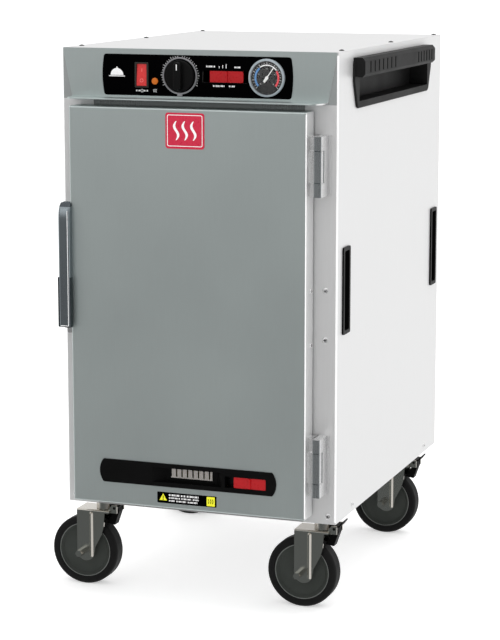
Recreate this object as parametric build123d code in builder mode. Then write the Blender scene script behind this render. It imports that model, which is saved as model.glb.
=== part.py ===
from build123d import *
from math import cos, radians, sin
import os

# Insulated food holding cabinet on four swivel casters, in millimetres.
# +X is to the right of someone facing the door, +Y runs from the door to the back, +Z is up.
# The origin is on the floor, below the middle of the cabinet body.

os.makedirs("parts", exist_ok=True)

# ---------------------------------------------------------------- driving dimensions
# Cabinet body
cabinet_width = 500.0
cabinet_depth = 655.0
cabinet_height = 806.0
skin = 1.2                      # outer sheet
bend_radius = 3.0               # outside radius of a folded sheet edge
post_width = 58.0               # front flange of each side panel
rear_flange = 20.0
top_flange = 22.0
base_sheet = 1.5
base_lip = 20.0
fit_gap = 0.2                   # between sheets that slide past each other in assembly

# Casters
wheel_diameter = 127.0
tyre_width = 32.5
tyre_depth = 13.0               # rubber, radially
crown_gap = 10.5                # tyre to fork crown
crown_thickness = 5.0
swivel_gap = 0.5
race_height = 23.0
plate_thickness = 4.0
caster_inset_side = 42.0        # swivel axis to cabinet side
caster_inset_end = 70.0         # swivel axis to cabinet front or back
caster_trail = 37.0             # swivel axis to axle
plate_size = (62.0, 92.0)
plate_holes = (45.0, 73.0)
kingpin_radius = 8.0
axle_radius = 5.0
fork_leg = 3.0
fork_outer = 24.0               # wheel middle to the outside of a leg
running_clearance = 0.05        # radial, shaft in hole

# Door and its opening
door_thickness = 42.0
door_margin_left = 29.0
door_margin_right = 41.4
door_foot_gap = 14.0            # cabinet bottom to door bottom
door_head_gap = 11.5            # door top to the visor
door_edge_radius = 3.0
door_skin_sheet = 1.2
opening_sill = 34.0             # cabinet bottom to clear opening
opening_head = 19.0             # clear opening to door top
jamb_depth = 45.0
jamb_sheet = 1.5
gasket_width = 13.0
gasket_thickness = 2.6
plug_height = 7.0               # inner door pan, into the opening
plug_clearance = 6.0

# Control fascia, measured from the top of the cabinet
fascia_height = 85.5
fascia_sheet = 1.2
fascia_inset_top = 2.0
fascia_inset_foot = 18.0
visor_reach = 40.0
visor_sheet = 2.4
visor_corner = 17.0
overlay_width = 345.5
overlay_height = 70.0
overlay_bow = 3.5
overlay_sheet = 0.8
overlay_centre_x = -1.5
controls_drop = 44.5            # cabinet top to the centre line of the controls

switch_x = -101.0
switch_size = (25.0, 43.0)
switch_key = (18.0, 37.0)
switch_proud = 2.6
lamp_x = -77.0
lamp_drop = 10.0
lamp_radius = 5.0
knob_x = -31.0
knob_radius = 27.0
knob_depth = 17.0
pointer_groove = (1.8, 0.6)      # across, deep
ring_radius = 31.5
ring_width = 3.0
shaft_radius = 3.0
damper_x = 53.0
damper_size = (60.0, 19.0)
damper_travel = 12.0
gauge_x = 125.5
gauge_radius = 32.0
gauge_rim = 3.6
gauge_proud = 5.0
gauge_body_radius = 28.0
pointer_rest = 35.0             # degrees clockwise from straight up

# Door vent near the foot of the door
vent_left = -163.0
vent_right = 150.0
vent_bow = 7.0
vent_height = 41.5
vent_drop = 72.9                # its centre, above the cabinet bottom
vent_proud = 2.0
vent_depth = 12.0
slot_first = -29.3
slot_pitch = 10.2
slot_count = 7
slot_size = (3.0, 14.0)
slot_rise = 2.6                 # slots above the vent's centre line
tab_x = 109.0
tab_drop = 2.4                  # tab below the vent's centre line
tab_size = (58.0, 19.0)
tab_travel = 15.0
sliding_clearance = 0.5

# Hinges on the right and latch on the left
hinge_height = 101.0
hinge_centres = (105.6, 618.5)
hinge_knuckle = 53.0
hinge_axis_proud = 33.5
hinge_axis_out = 18.4           # door edge to hinge axis
knuckle_half = 6.9              # half the side of a knuckle
knuckle_round = 3.0             # radius of a knuckle's corners
leaf_setback = 14.0             # door face to the front of a door leaf
hinge_pin_radius = 2.5
knuckle_gap = 0.5
leaf_flange = (18.3, 3.0)
latch_foot = 322.0
latch_body_height = 80.0
latch_gap = 4.0                 # latch case to the front post
lever_rise = 4.5                # foot of the latch case to foot of the lever
lever_height = 216.0
lever_width = 21.5
lever_lap = 4.0                 # lever over the door's edge
lever_depth = 12.0
lever_wall = 2.5
lever_gap = 2.0

# Side furniture
handle_inset_front = 80.0
handle_inset_back = 84.0
handle_drop = 15.0              # cabinet top to the handle's top edge
handle_height = 85.0
handle_taper = 19.0
handle_flange = 4.0
handle_pocket_depth = 34.0
handle_wall = 3.0
grip_height = 33.0
grip_proud = 21.0
grip_cutback = 36.5             # back of the handle to the back of its grip
slot_bezel_size = (39.0, 150.0)
slot_bezel_proud = 3.0
slot_bezel_rim = 6.5
slot_bezel_depth = 16.0
slot_bezel_foot = 326.0
slot_bezel_insets = (28.5, 23.5)

# Inside
liner_sheet = 1.0
liner_back_gap = 42.0
heater_space = 9.0
heater_radius = 2.5
rack_pitch = 57.0
rack_first = 60.0
ledge_reach = 26.0
ledge_sheet = 2.0
upright_width = 22.0

# Screws
screw_head_radius = 4.6
screw_head_height = 2.4
screw_radius = 2.0
screw_hole_radius = 2.2
screw_length = 2.9

# ---------------------------------------------------------------- derived places
ground_clearance = (
    wheel_diameter + crown_gap + crown_thickness + swivel_gap + race_height + plate_thickness
)
base_z = ground_clearance
top_z = base_z + cabinet_height
half_width = cabinet_width / 2
front_y = -cabinet_depth / 2
back_y = cabinet_depth / 2
side_top_z = top_z - skin
post_inner = half_width - post_width

fascia_foot_z = top_z - fascia_height
door_left = -half_width + door_margin_left
door_right = half_width - door_margin_right
door_bottom_z = base_z + door_foot_gap
door_top_z = fascia_foot_z - door_head_gap
door_front_y = front_y - door_thickness
door_back_y = front_y - gasket_thickness - 0.4
door_centre_x = (door_left + door_right) / 2
door_width = door_right - door_left
door_height = door_top_z - door_bottom_z

opening_half = post_inner - jamb_sheet
opening_bottom_z = base_z + opening_sill
opening_top_z = door_top_z - opening_head
opening_height = opening_top_z - opening_bottom_z
opening_centre_z = (opening_bottom_z + opening_top_z) / 2
frame_back_y = front_y + skin + jamb_sheet

panel_y = front_y - fascia_sheet            # face of the fascia
overlay_y = panel_y - overlay_sheet         # face of the overlay
controls_z = top_z - controls_drop
lamp_z = controls_z - lamp_drop

liner_front_y = front_y + jamb_depth
liner_back_y = back_y - liner_back_gap
liner_half = opening_half + jamb_sheet

hinge_axis_x = door_right + hinge_axis_out
hinge_axis_y = front_y - hinge_axis_proud

latch_z = base_z + latch_foot
lever_right = door_left + lever_lap
lever_left = lever_right - lever_width
lever_front_y = door_front_y - lever_gap - lever_depth
lever_back_y = door_front_y - lever_gap
lever_axis_x = door_left - 9.0
lever_axis_y = door_front_y + 6.0
lever_z = latch_z + lever_rise

handle_front_y = front_y + handle_inset_front
handle_back_y = back_y - handle_inset_back
handle_top_z = top_z - handle_drop
handle_foot_z = handle_top_z - handle_height
grip_foot_z = handle_top_z + 2.0 - grip_height
handle_mid_y = (handle_front_y + handle_back_y) / 2
handle_length = handle_back_y - handle_front_y
pocket_length = handle_length - 2 * handle_taper - 16.0
pocket_foot_z = handle_foot_z + 12.0
pocket_top_z = handle_top_z - 10.0
pocket_height = pocket_top_z - pocket_foot_z
pocket_mid_z = (pocket_foot_z + pocket_top_z) / 2

slot_bezel_z = base_z + slot_bezel_foot + slot_bezel_size[1] / 2
slot_bezel_ys = (
    front_y + slot_bezel_insets[0] + slot_bezel_size[0] / 2,
    back_y - slot_bezel_insets[1] - slot_bezel_size[0] / 2,
)

vent_z = base_z + vent_drop
vent_front_y = door_front_y - vent_proud
vent_floor_y = door_front_y + vent_depth
shutter_y = vent_floor_y + 0.5
slot_z = vent_z + slot_rise
tab_z = vent_z - tab_drop

axle_z = wheel_diameter / 2
crown_z = wheel_diameter + crown_gap
crown_top_z = crown_z + crown_thickness
race_foot_z = crown_top_z + swivel_gap
plate_z = base_z - plate_thickness
caster_places = {
    "fl": (-half_width + caster_inset_side, front_y + caster_inset_end),
    "fr": (half_width - caster_inset_side, front_y + caster_inset_end),
    "rl": (-half_width + caster_inset_side, back_y - caster_inset_end),
    "rr": (half_width - caster_inset_side, back_y - caster_inset_end),
}
bolt_places = [
    (x + i * plate_holes[0] / 2, y + j * plate_holes[1] / 2)
    for x, y in caster_places.values()
    for i in (-1, 1)
    for j in (-1, 1)
]

# Screw places on each face: across, then along
top_screws = [(i * (half_width - 12.0), front_y + y) for i in (-1, 1) for y in (55.0, 350.0, 645.0)]
top_screws = [(x, min(y, back_y - 10.0)) for x, y in top_screws]
rim_screw_height = 13.5
rim_screw_xs = (-half_width + 14.0, half_width - 14.0)
side_screws = [(y, base_z + rim_screw_height) for y in (front_y + 95.8, back_y - 85.5)]
post_screws = [(x, base_z + rim_screw_height) for x in rim_screw_xs]
post_screws += [(half_width - 20.5, base_z + z) for z in (321.0, 405.8)]
rear_screws = [(x, base_z + z) for x in rim_screw_xs for z in (rim_screw_height, 400.0, 780.0)]


def facing_front(y):
    """Sketch plane at depth y: its x is X, its y is Z, and it extrudes towards the front."""
    return Plane(origin=(0, y, 0), x_dir=(1, 0, 0), z_dir=(0, -1, 0))


def facing_back(y):
    """Sketch plane at depth y: its x is -X, its y is Z, and it extrudes towards the back."""
    return Plane(origin=(0, y, 0), x_dir=(-1, 0, 0), z_dir=(0, 1, 0))


def facing_right(x):
    """Sketch plane at width x: its x is Y, its y is Z, and it extrudes to the right."""
    return Plane(origin=(x, 0, 0), x_dir=(0, 1, 0), z_dir=(1, 0, 0))


def block(low, high, mode=Mode.ADD):
    """Adds a box between two corners to the part being built."""
    size = [high[i] - low[i] for i in range(3)]
    middle = [(high[i] + low[i]) / 2 for i in range(3)]
    with Locations(tuple(middle)):
        Box(*size, mode=mode)


# ---------------------------------------------------------------- casing
with BuildPart() as base_pan:
    pan_half = half_width - skin
    pan_front = frame_back_y - skin
    pan_back = back_y - 2 * skin
    block((-pan_half, pan_front, base_z), (pan_half, pan_back, base_z + base_lip))
    fillet(base_pan.edges().filter_by(Axis.Z), bend_radius)
    block(
        (-pan_half + base_sheet, pan_front + base_sheet, base_z + base_sheet),
        (pan_half - base_sheet, pan_back - base_sheet, base_z + base_lip + 1),
        Mode.SUBTRACT,
    )
    with BuildSketch(Plane.XY.offset(base_z)):
        with Locations(*bolt_places):
            Circle(4.2)
    extrude(amount=base_sheet, mode=Mode.SUBTRACT)
    with BuildSketch(facing_right(0)):
        with Locations(*side_screws):
            Circle(screw_hole_radius)
    extrude(amount=half_width, both=True, mode=Mode.SUBTRACT)
    with BuildSketch(facing_front(0)):
        with Locations(*[(x, base_z + rim_screw_height) for x in rim_screw_xs]):
            Circle(screw_hole_radius)
    extrude(amount=cabinet_depth / 2, both=True, mode=Mode.SUBTRACT)
base_pan.part.label = "base_pan"
export_step(base_pan.part, "parts/base_pan.step")


with BuildPart() as side_panel_right:
    block((post_inner, front_y, base_z), (half_width, back_y, side_top_z))
    outer_edges = side_panel_right.edges().filter_by(Axis.Z).sort_by(Axis.X)[-2:]
    fillet(outer_edges, bend_radius)
    with BuildPart(mode=Mode.SUBTRACT) as side_panel_hollow:
        block(
            (post_inner - 1, front_y + skin, base_z - 1),
            (half_width - skin, back_y - skin, side_top_z - skin),
        )
        fillet(side_panel_hollow.edges().filter_by(Axis.Z).sort_by(Axis.X)[-2:], bend_radius - skin)
    block(
        (post_inner - 1, front_y + skin, side_top_z - 2 * skin),
        (half_width - top_flange, back_y + 1, side_top_z + 1),
        Mode.SUBTRACT,
    )
    block(
        (post_inner - 1, back_y - 2 * skin, base_z - 1),
        (half_width - rear_flange, back_y + 1, side_top_z + 1),
        Mode.SUBTRACT,
    )
    # Pockets for the handle and the two slot bezels
    with BuildSketch(facing_right(half_width - skin - 1)):
        with Locations((handle_mid_y, pocket_mid_z)):
            Rectangle(
                pocket_length + 2 * handle_wall + 2 * fit_gap,
                pocket_height + 2 * handle_wall + 2 * fit_gap,
            )
        with Locations(*[(y, slot_bezel_z) for y in slot_bezel_ys]):
            Rectangle(slot_bezel_size[0] - slot_bezel_rim, slot_bezel_size[1] - slot_bezel_rim)
        with Locations(*side_screws):
            Circle(screw_hole_radius)
    extrude(amount=skin + 3, mode=Mode.SUBTRACT)
    with BuildSketch(Plane.XY.offset(side_top_z - skin - 1)):
        with Locations(*[place for place in top_screws if place[0] > 0]):
            Circle(screw_hole_radius)
    extrude(amount=skin + 2, mode=Mode.SUBTRACT)
    with BuildSketch(facing_front(front_y + skin + 1)):
        with Locations(*[place for place in post_screws if place[0] > 0]):
            Circle(screw_hole_radius)
    extrude(amount=skin + 2, mode=Mode.SUBTRACT)
    with BuildSketch(facing_back(back_y - skin - 1)):
        with Locations(*[(-x, z) for x, z in rear_screws if x > 0]):
            Circle(screw_hole_radius)
    extrude(amount=skin + 2, mode=Mode.SUBTRACT)
side_panel_right.part.label = "side_panel_right"
export_step(side_panel_right.part, "parts/side_panel_right.step")


with BuildPart() as side_panel_left:
    add(side_panel_right.part)
    mirror(about=Plane.YZ, mode=Mode.REPLACE)
side_panel_left.part.label = "side_panel_left"
export_step(side_panel_left.part, "parts/side_panel_left.step")


with BuildPart() as top_panel:
    block(
        (-half_width + 0.5, front_y, side_top_z),
        (half_width - 0.5, back_y, top_z),
    )
    fillet(top_panel.edges().filter_by(Axis.Z), bend_radius)
    with BuildSketch(Plane.XY.offset(side_top_z)):
        with Locations(*top_screws):
            Circle(screw_hole_radius)
    extrude(amount=skin, mode=Mode.SUBTRACT)
top_panel.part.label = "top_panel"
export_step(top_panel.part, "parts/top_panel.step")


inlet_x = -half_width + 90.0
inlet_z = top_z - 60.0
inlet_size = (48.0, 30.0)
inlet_body = (34.0, 24.0)
with BuildPart() as back_panel:
    block(
        (-half_width + bend_radius, back_y - 2 * skin, base_z),
        (half_width - bend_radius, back_y - skin, side_top_z - skin),
    )
    with BuildSketch(facing_back(back_y - 2 * skin - 1)):
        with Locations(*[(-x, z) for x, z in rear_screws]):
            Circle(screw_hole_radius)
        with Locations((-inlet_x, inlet_z)):
            Rectangle(inlet_body[0] + 1, inlet_body[1] + 1)
    extrude(amount=skin + 2, mode=Mode.SUBTRACT)
back_panel.part.label = "back_panel"
export_step(back_panel.part, "parts/back_panel.step")


with BuildPart() as front_frame:
    # Sheet behind the posts, then the header and sill that show between them, then the jamb
    ring_top_z = fascia_foot_z + 3.0
    block(
        (-half_width + bend_radius, front_y + skin, base_z),
        (half_width - bend_radius, frame_back_y - skin, ring_top_z),
    )
    block((-post_inner, front_y, base_z), (post_inner, front_y + skin, ring_top_z))
    block(
        (-post_inner, front_y + skin, opening_bottom_z - jamb_sheet),
        (post_inner, liner_front_y, opening_top_z + jamb_sheet),
    )
    block(
        (-opening_half, front_y - 1, opening_bottom_z),
        (opening_half, liner_front_y + 1, opening_top_z),
        Mode.SUBTRACT,
    )
    with BuildSketch(facing_front(frame_back_y + 1)):
        with Locations(*post_screws):
            Circle(screw_hole_radius)
    extrude(amount=jamb_sheet + 3, mode=Mode.SUBTRACT)
front_frame.part.label = "front_frame"
export_step(front_frame.part, "parts/front_frame.step")


# ---------------------------------------------------------------- warm compartment
with BuildPart() as liner:
    block(
        (-liner_half, liner_front_y, opening_bottom_z - liner_sheet),
        (liner_half, liner_back_y, opening_top_z + liner_sheet),
    )
    block(
        (-liner_half + liner_sheet, liner_front_y - 1, opening_bottom_z),
        (liner_half - liner_sheet, liner_back_y - liner_sheet, opening_top_z),
        Mode.SUBTRACT,
    )
liner.part.label = "liner"
export_step(liner.part, "parts/liner.step")


insulation_top_z = handle_foot_z - 4.0
with BuildPart() as insulation:
    block(
        (-half_width + skin + 1, frame_back_y + 1, base_z + base_sheet + 3),
        (half_width - skin - 1, back_y - 2 * skin - 1, insulation_top_z),
    )
    # Clear of the folded edges of the base pan
    block(
        (-half_width, front_y, base_z),
        (-half_width + skin + base_sheet + 1, back_y, base_z + base_lip + 1),
        Mode.SUBTRACT,
    )
    block(
        (half_width - skin - base_sheet - 1, front_y, base_z),
        (half_width, back_y, base_z + base_lip + 1),
        Mode.SUBTRACT,
    )
    block(
        (-half_width, back_y - 2 * skin - base_sheet - 1, base_z),
        (half_width, back_y, base_z + base_lip + 1),
        Mode.SUBTRACT,
    )
    # Space for the liner and jamb, with room under the floor for the heating cable
    block(
        (-liner_half - 1, front_y, opening_bottom_z - liner_sheet - heater_space),
        (liner_half + 1, liner_back_y + 1, opening_top_z + jamb_sheet + 1),
        Mode.SUBTRACT,
    )
    for i in (-1, 1):
        for y in slot_bezel_ys:
            x = i * (half_width - slot_bezel_depth / 2)
            with Locations((x, y, slot_bezel_z)):
                Box(
                    slot_bezel_depth + 4,
                    slot_bezel_size[0],
                    slot_bezel_size[1],
                    mode=Mode.SUBTRACT,
                )
    with BuildSketch(Plane.XY.offset(base_z)):
        with Locations(*bolt_places):
            Circle(8)
    extrude(amount=14, mode=Mode.SUBTRACT)
insulation.part.label = "insulation"
export_step(insulation.part, "parts/insulation.step")


# Heating cable: a flat serpentine below the liner floor
heater_z = opening_bottom_z - liner_sheet - heater_space / 2
heater_rows = 8
heater_half = liner_half - 35.0
heater_front_y = liner_front_y + 40.0
heater_step = (liner_back_y - 40.0 - heater_front_y) / (heater_rows - 1)
heater_corners = []
for row in range(heater_rows):
    side = 1 if row % 2 == 0 else -1
    y = heater_front_y + row * heater_step
    heater_corners += [(-side * heater_half, y, heater_z), (side * heater_half, y, heater_z)]
with BuildPart() as heater_element:
    with BuildLine() as heater_path:
        FilletPolyline(*heater_corners, radius=min(20.0, heater_step * 0.45))
    with BuildSketch(Plane(origin=heater_corners[0], z_dir=(1, 0, 0))):
        Circle(heater_radius)
    sweep()
heater_element.part.label = "heater_element"
export_step(heater_element.part, "parts/heater_element.step")


# Pan slides: two uprights and a ladder of ledges on each side wall
rack_front_y = liner_front_y + 25.0
rack_back_y = liner_back_y - 20.0
rack_levels = int((opening_height - rack_first - 40.0) / rack_pitch) + 1
with BuildPart() as slide_racks:
    wall_x = liner_half - liner_sheet
    for upright_y in (rack_front_y + 40.0, rack_back_y - 40.0 - upright_width):
        block(
            (wall_x - ledge_sheet, upright_y, opening_bottom_z + 10.0),
            (wall_x, upright_y + upright_width, opening_top_z - 10.0),
        )
    for level in range(rack_levels):
        z = opening_bottom_z + rack_first + level * rack_pitch
        block(
            (wall_x - ledge_sheet - ledge_reach, rack_front_y, z),
            (wall_x - ledge_sheet, rack_back_y, z + ledge_sheet),
        )
    mirror(about=Plane.YZ)
slide_racks.part.label = "slide_racks"
export_step(slide_racks.part, "parts/slide_racks.step")


# ---------------------------------------------------------------- control fascia
overlay_left = overlay_centre_x - overlay_width / 2
overlay_right = overlay_centre_x + overlay_width / 2
damper_window = (damper_size[0] + 2 * damper_travel + 2, damper_size[1] + 2 * sliding_clearance)
switch_body = (switch_size[0] - 3.0, switch_size[1] - 3.0)


def control_holes(grow):
    """Cuts every opening of the controls into the sketch being drawn, each a little larger."""
    with Locations((switch_x, controls_z)):
        Rectangle(switch_body[0] + grow, switch_body[1] + grow, mode=Mode.SUBTRACT)
    with Locations((lamp_x, lamp_z)):
        Circle(lamp_radius + grow / 2, mode=Mode.SUBTRACT)
    with Locations((knob_x, controls_z)):
        Circle(shaft_radius + 1 + grow, mode=Mode.SUBTRACT)
    with Locations((damper_x, controls_z)):
        Rectangle(*damper_window, mode=Mode.SUBTRACT)
    with Locations((gauge_x, controls_z)):
        Circle(gauge_body_radius + grow / 2, mode=Mode.SUBTRACT)


with BuildPart() as control_fascia:
    fascia_top_half = half_width - fascia_inset_top
    fascia_foot_half = half_width - fascia_inset_foot
    with BuildSketch(facing_front(front_y)):
        with BuildLine():
            Polyline(
                (-fascia_foot_half, fascia_foot_z),
                (fascia_foot_half, fascia_foot_z),
                (fascia_top_half, top_z - 6.0),
                (fascia_top_half, top_z),
                (-fascia_top_half, top_z),
                (-fascia_top_half, top_z - 6.0),
                close=True,
            )
        make_face()
        control_holes(0.4)
    extrude(amount=fascia_sheet)
    # Visor over the door head, with a rolled front hem
    with BuildSketch(Plane.XY.offset(fascia_foot_z)):
        with BuildLine():
            Line((-fascia_foot_half, front_y), (fascia_foot_half, front_y))
            Spline(
                (fascia_foot_half, front_y),
                (fascia_foot_half - visor_corner, front_y - visor_reach),
                tangents=((0, -1), (-1, -0.12)),
            )
            Line(
                (fascia_foot_half - visor_corner, front_y - visor_reach),
                (-fascia_foot_half + visor_corner, front_y - visor_reach),
            )
            Spline(
                (-fascia_foot_half + visor_corner, front_y - visor_reach),
                (-fascia_foot_half, front_y),
                tangents=((-1, 0.12), (0, 1)),
            )
        make_face()
    extrude(amount=visor_sheet)
    hem = control_fascia.edges().filter_by(Axis.X).group_by(Axis.Y)[0]
    fillet(hem, visor_sheet * 0.45)
control_fascia.part.label = "control_fascia"
export_step(control_fascia.part, "parts/control_fascia.step")


with BuildPart() as control_overlay:
    with BuildSketch(facing_front(panel_y)) as overlay_face:
        foot = controls_z - overlay_height / 2
        head = controls_z + overlay_height / 2
        with BuildLine():
            Line((overlay_left + overlay_bow, foot), (overlay_right - overlay_bow, foot))
            ThreePointArc(
                (overlay_right - overlay_bow, foot),
                (overlay_right, controls_z),
                (overlay_right - overlay_bow, head),
            )
            Line((overlay_right - overlay_bow, head), (overlay_left + overlay_bow, head))
            ThreePointArc(
                (overlay_left + overlay_bow, head),
                (overlay_left, controls_z),
                (overlay_left + overlay_bow, foot),
            )
        make_face()
        fillet(overlay_face.vertices(), 5.0)
        control_holes(0.4)
    extrude(amount=overlay_sheet)
control_overlay.part.label = "control_overlay"
export_step(control_overlay.part, "parts/control_overlay.step")


# Rocker switch: bezel and body, with the key on a cross pin
switch_face_y = overlay_y - switch_proud
switch_axis_y = overlay_y + 4.0
key_tilt = 6.0
with BuildPart() as switch_housing:
    with BuildSketch(facing_front(overlay_y)):
        with Locations((switch_x, controls_z)):
            RectangleRounded(*switch_size, radius=1.5)
    extrude(amount=switch_proud)
    fillet(switch_housing.edges().group_by(Axis.Y)[0], 0.8)
    with BuildSketch(facing_front(overlay_y)):
        with Locations((switch_x, controls_z)):
            Rectangle(*switch_body)
    extrude(amount=-24)
    with BuildSketch(facing_front(overlay_y + 12)):
        with Locations((switch_x, controls_z)):
            Rectangle(switch_key[0] + 0.8, switch_key[1] + 1.6)
    extrude(amount=30, mode=Mode.SUBTRACT)
switch_housing.part.label = "switch_housing"
export_step(switch_housing.part, "parts/switch_housing.step")

with BuildPart() as switch_rocker:
    half_key = switch_key[1] / 2
    key_front = -(switch_proud + 4.0)
    with BuildSketch(facing_right(switch_x - switch_key[0] / 2)):
        with BuildLine():
            Polyline(
                (switch_axis_y + key_front + 0.3, controls_z - half_key),
                (switch_axis_y + key_front + 1.6, controls_z),
                (switch_axis_y + key_front + 3.8, controls_z + half_key),
                (switch_axis_y + 1.5, controls_z + half_key),
                (switch_axis_y + 4.5, controls_z),
                (switch_axis_y - 1.0, controls_z - half_key),
                close=True,
            )
        make_face()
    extrude(amount=switch_key[0])
    fillet(switch_rocker.edges().filter_by(Axis.X).group_by(Axis.Y)[0], 0.6)
switch_rocker.part.label = "switch_rocker"
export_step(switch_rocker.part, "parts/switch_rocker.step")


with BuildPart() as indicator_lamp:
    with BuildSketch(facing_front(panel_y + 14)):
        with Locations((lamp_x, lamp_z)):
            Circle(lamp_radius)
    extrude(amount=overlay_sheet + 14)
    with BuildSketch(facing_front(overlay_y)):
        with Locations((lamp_x, lamp_z)):
            Circle(lamp_radius + 0.8)
    extrude(amount=2.4)
    fillet(indicator_lamp.edges().filter_by(GeomType.CIRCLE).group_by(Axis.Y)[0], 2.0)
indicator_lamp.part.label = "indicator_lamp"
export_step(indicator_lamp.part, "parts/indicator_lamp.step")


with BuildPart() as thermostat_ring:
    with BuildSketch(facing_front(overlay_y)):
        with Locations((knob_x, controls_z)):
            Circle(ring_radius)
        with Locations((knob_x, controls_z - ring_radius)):
            Rectangle(9, 5)
        with Locations((knob_x, controls_z)):
            Circle(ring_radius - ring_width, mode=Mode.SUBTRACT)
    extrude(amount=2.0)
    fillet(thermostat_ring.edges().filter_by(GeomType.CIRCLE).group_by(Axis.Y)[0], 0.6)
thermostat_ring.part.label = "thermostat_ring"
export_step(thermostat_ring.part, "parts/thermostat_ring.step")


thermostat_size = (52.0, 40.0, 46.0)
with BuildPart() as thermostat_body:
    block(
        (knob_x - thermostat_size[0] / 2, front_y + 1, controls_z - thermostat_size[2] / 2),
        (
            knob_x + thermostat_size[0] / 2,
            front_y + 1 + thermostat_size[1],
            controls_z + thermostat_size[2] / 2,
        ),
    )
    fillet(thermostat_body.edges().filter_by(Axis.Y), 3)
    with BuildSketch(facing_front(front_y + 1 + 22)):
        with Locations((knob_x, controls_z)):
            Circle(shaft_radius + running_clearance)
    extrude(amount=30, mode=Mode.SUBTRACT)
thermostat_body.part.label = "thermostat_body"
export_step(thermostat_body.part, "parts/thermostat_body.step")


with BuildPart() as thermostat_knob:
    # Skirt, grip bar across it, and the shaft behind
    with BuildSketch(facing_front(overlay_y - 0.6)):
        with Locations((knob_x, controls_z)):
            Circle(knob_radius)
    extrude(amount=knob_depth * 0.42, taper=5)
    fillet(thermostat_knob.edges().filter_by(GeomType.CIRCLE).group_by(Axis.Y)[0], 1.5)
    with BuildSketch(facing_front(overlay_y - 0.6)):
        with Locations((knob_x, controls_z)):
            SlotOverall(2 * knob_radius - 5.0, 15.0, rotation=90)
    extrude(amount=knob_depth, taper=3)
    fillet(thermostat_knob.edges().group_by(Axis.Y)[0], 2.2)
    # Painted groove that points at the scale
    with BuildSketch(facing_front(overlay_y - 0.6 - knob_depth)):
        with Locations((knob_x, controls_z + knob_radius * 0.56)):
            Rectangle(pointer_groove[0], knob_radius * 0.40)
    extrude(amount=-pointer_groove[1], mode=Mode.SUBTRACT)
    with BuildSketch(facing_front(overlay_y - 0.6)):
        with Locations((knob_x, controls_z)):
            Circle(shaft_radius)
    extrude(amount=-(overlay_sheet + fascia_sheet + 16))
thermostat_knob.part.label = "thermostat_knob"
export_step(thermostat_knob.part, "parts/thermostat_knob.step")


with BuildPart() as humidity_slider:
    face_y = overlay_y + 0.2
    with BuildSketch(facing_front(front_y + 0.4)) as slider_face:
        with Locations((damper_x, controls_z)):
            Rectangle(*damper_size)
        fillet(slider_face.vertices().sort_by(Axis.X)[-2:], 4.0)
    extrude(amount=front_y + 0.4 - face_y)
    with BuildSketch(facing_front(face_y)):
        with Locations((damper_x, controls_z)):
            Rectangle(4.0, damper_size[1] - 1.0)
    extrude(amount=2.4, taper=12)
    # Wider foot behind the fascia keeps it in its window
    with BuildSketch(facing_front(front_y + 0.4)):
        with Locations((damper_x, controls_z)):
            Rectangle(damper_size[0] - 2, damper_size[1] + 8)
    extrude(amount=-1.5)
humidity_slider.part.label = "humidity_slider"
export_step(humidity_slider.part, "parts/humidity_slider.step")


gauge_dial_y = overlay_y - 1.2
gauge_lens_y = overlay_y - gauge_proud + 1.2
with BuildPart() as thermometer_case:
    with BuildSketch(facing_front(overlay_y)):
        with Locations((gauge_x, controls_z)):
            Circle(gauge_radius)
    extrude(amount=gauge_proud)
    fillet(thermometer_case.edges().filter_by(GeomType.CIRCLE).group_by(Axis.Y)[0], 1.6)
    with BuildSketch(facing_front(overlay_y)):
        with Locations((gauge_x, controls_z)):
            Circle(gauge_body_radius)
    extrude(amount=-20)
    with BuildSketch(facing_front(gauge_dial_y)):
        with Locations((gauge_x, controls_z)):
            Circle(gauge_radius - gauge_rim)
    extrude(amount=gauge_proud, mode=Mode.SUBTRACT)
    with BuildSketch(facing_front(gauge_dial_y + 6)):
        with Locations((gauge_x, controls_z)):
            Circle(0.8 + running_clearance)
    extrude(amount=10, mode=Mode.SUBTRACT)
thermometer_case.part.label = "thermometer_case"
export_step(thermometer_case.part, "parts/thermometer_case.step")

with BuildPart() as thermometer_lens:
    with BuildSketch(facing_front(gauge_lens_y)):
        with Locations((gauge_x, controls_z)):
            Circle(gauge_radius - gauge_rim)
    extrude(amount=0.8)
thermometer_lens.part.label = "thermometer_lens"
export_step(thermometer_lens.part, "parts/thermometer_lens.step")

with BuildPart() as thermometer_pointer:
    pointer_y = gauge_dial_y - 0.6
    lean = radians(90 - pointer_rest)
    with BuildSketch(facing_front(pointer_y)):
        with Locations((gauge_x, controls_z)):
            Circle(3.0)
            with Locations(Location((8 * cos(lean), 8 * sin(lean)), 90 - pointer_rest)):
                Rectangle(25.0, 1.4)
            with Locations(Location((-5.5 * cos(lean), -5.5 * sin(lean)), 90 - pointer_rest)):
                Rectangle(6.0, 4.2)
    extrude(amount=0.6)
    with BuildSketch(facing_front(pointer_y)):
        with Locations((gauge_x, controls_z)):
            Circle(0.8)
    extrude(amount=-5)
thermometer_pointer.part.label = "thermometer_pointer"
export_step(thermometer_pointer.part, "parts/thermometer_pointer.step")


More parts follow.
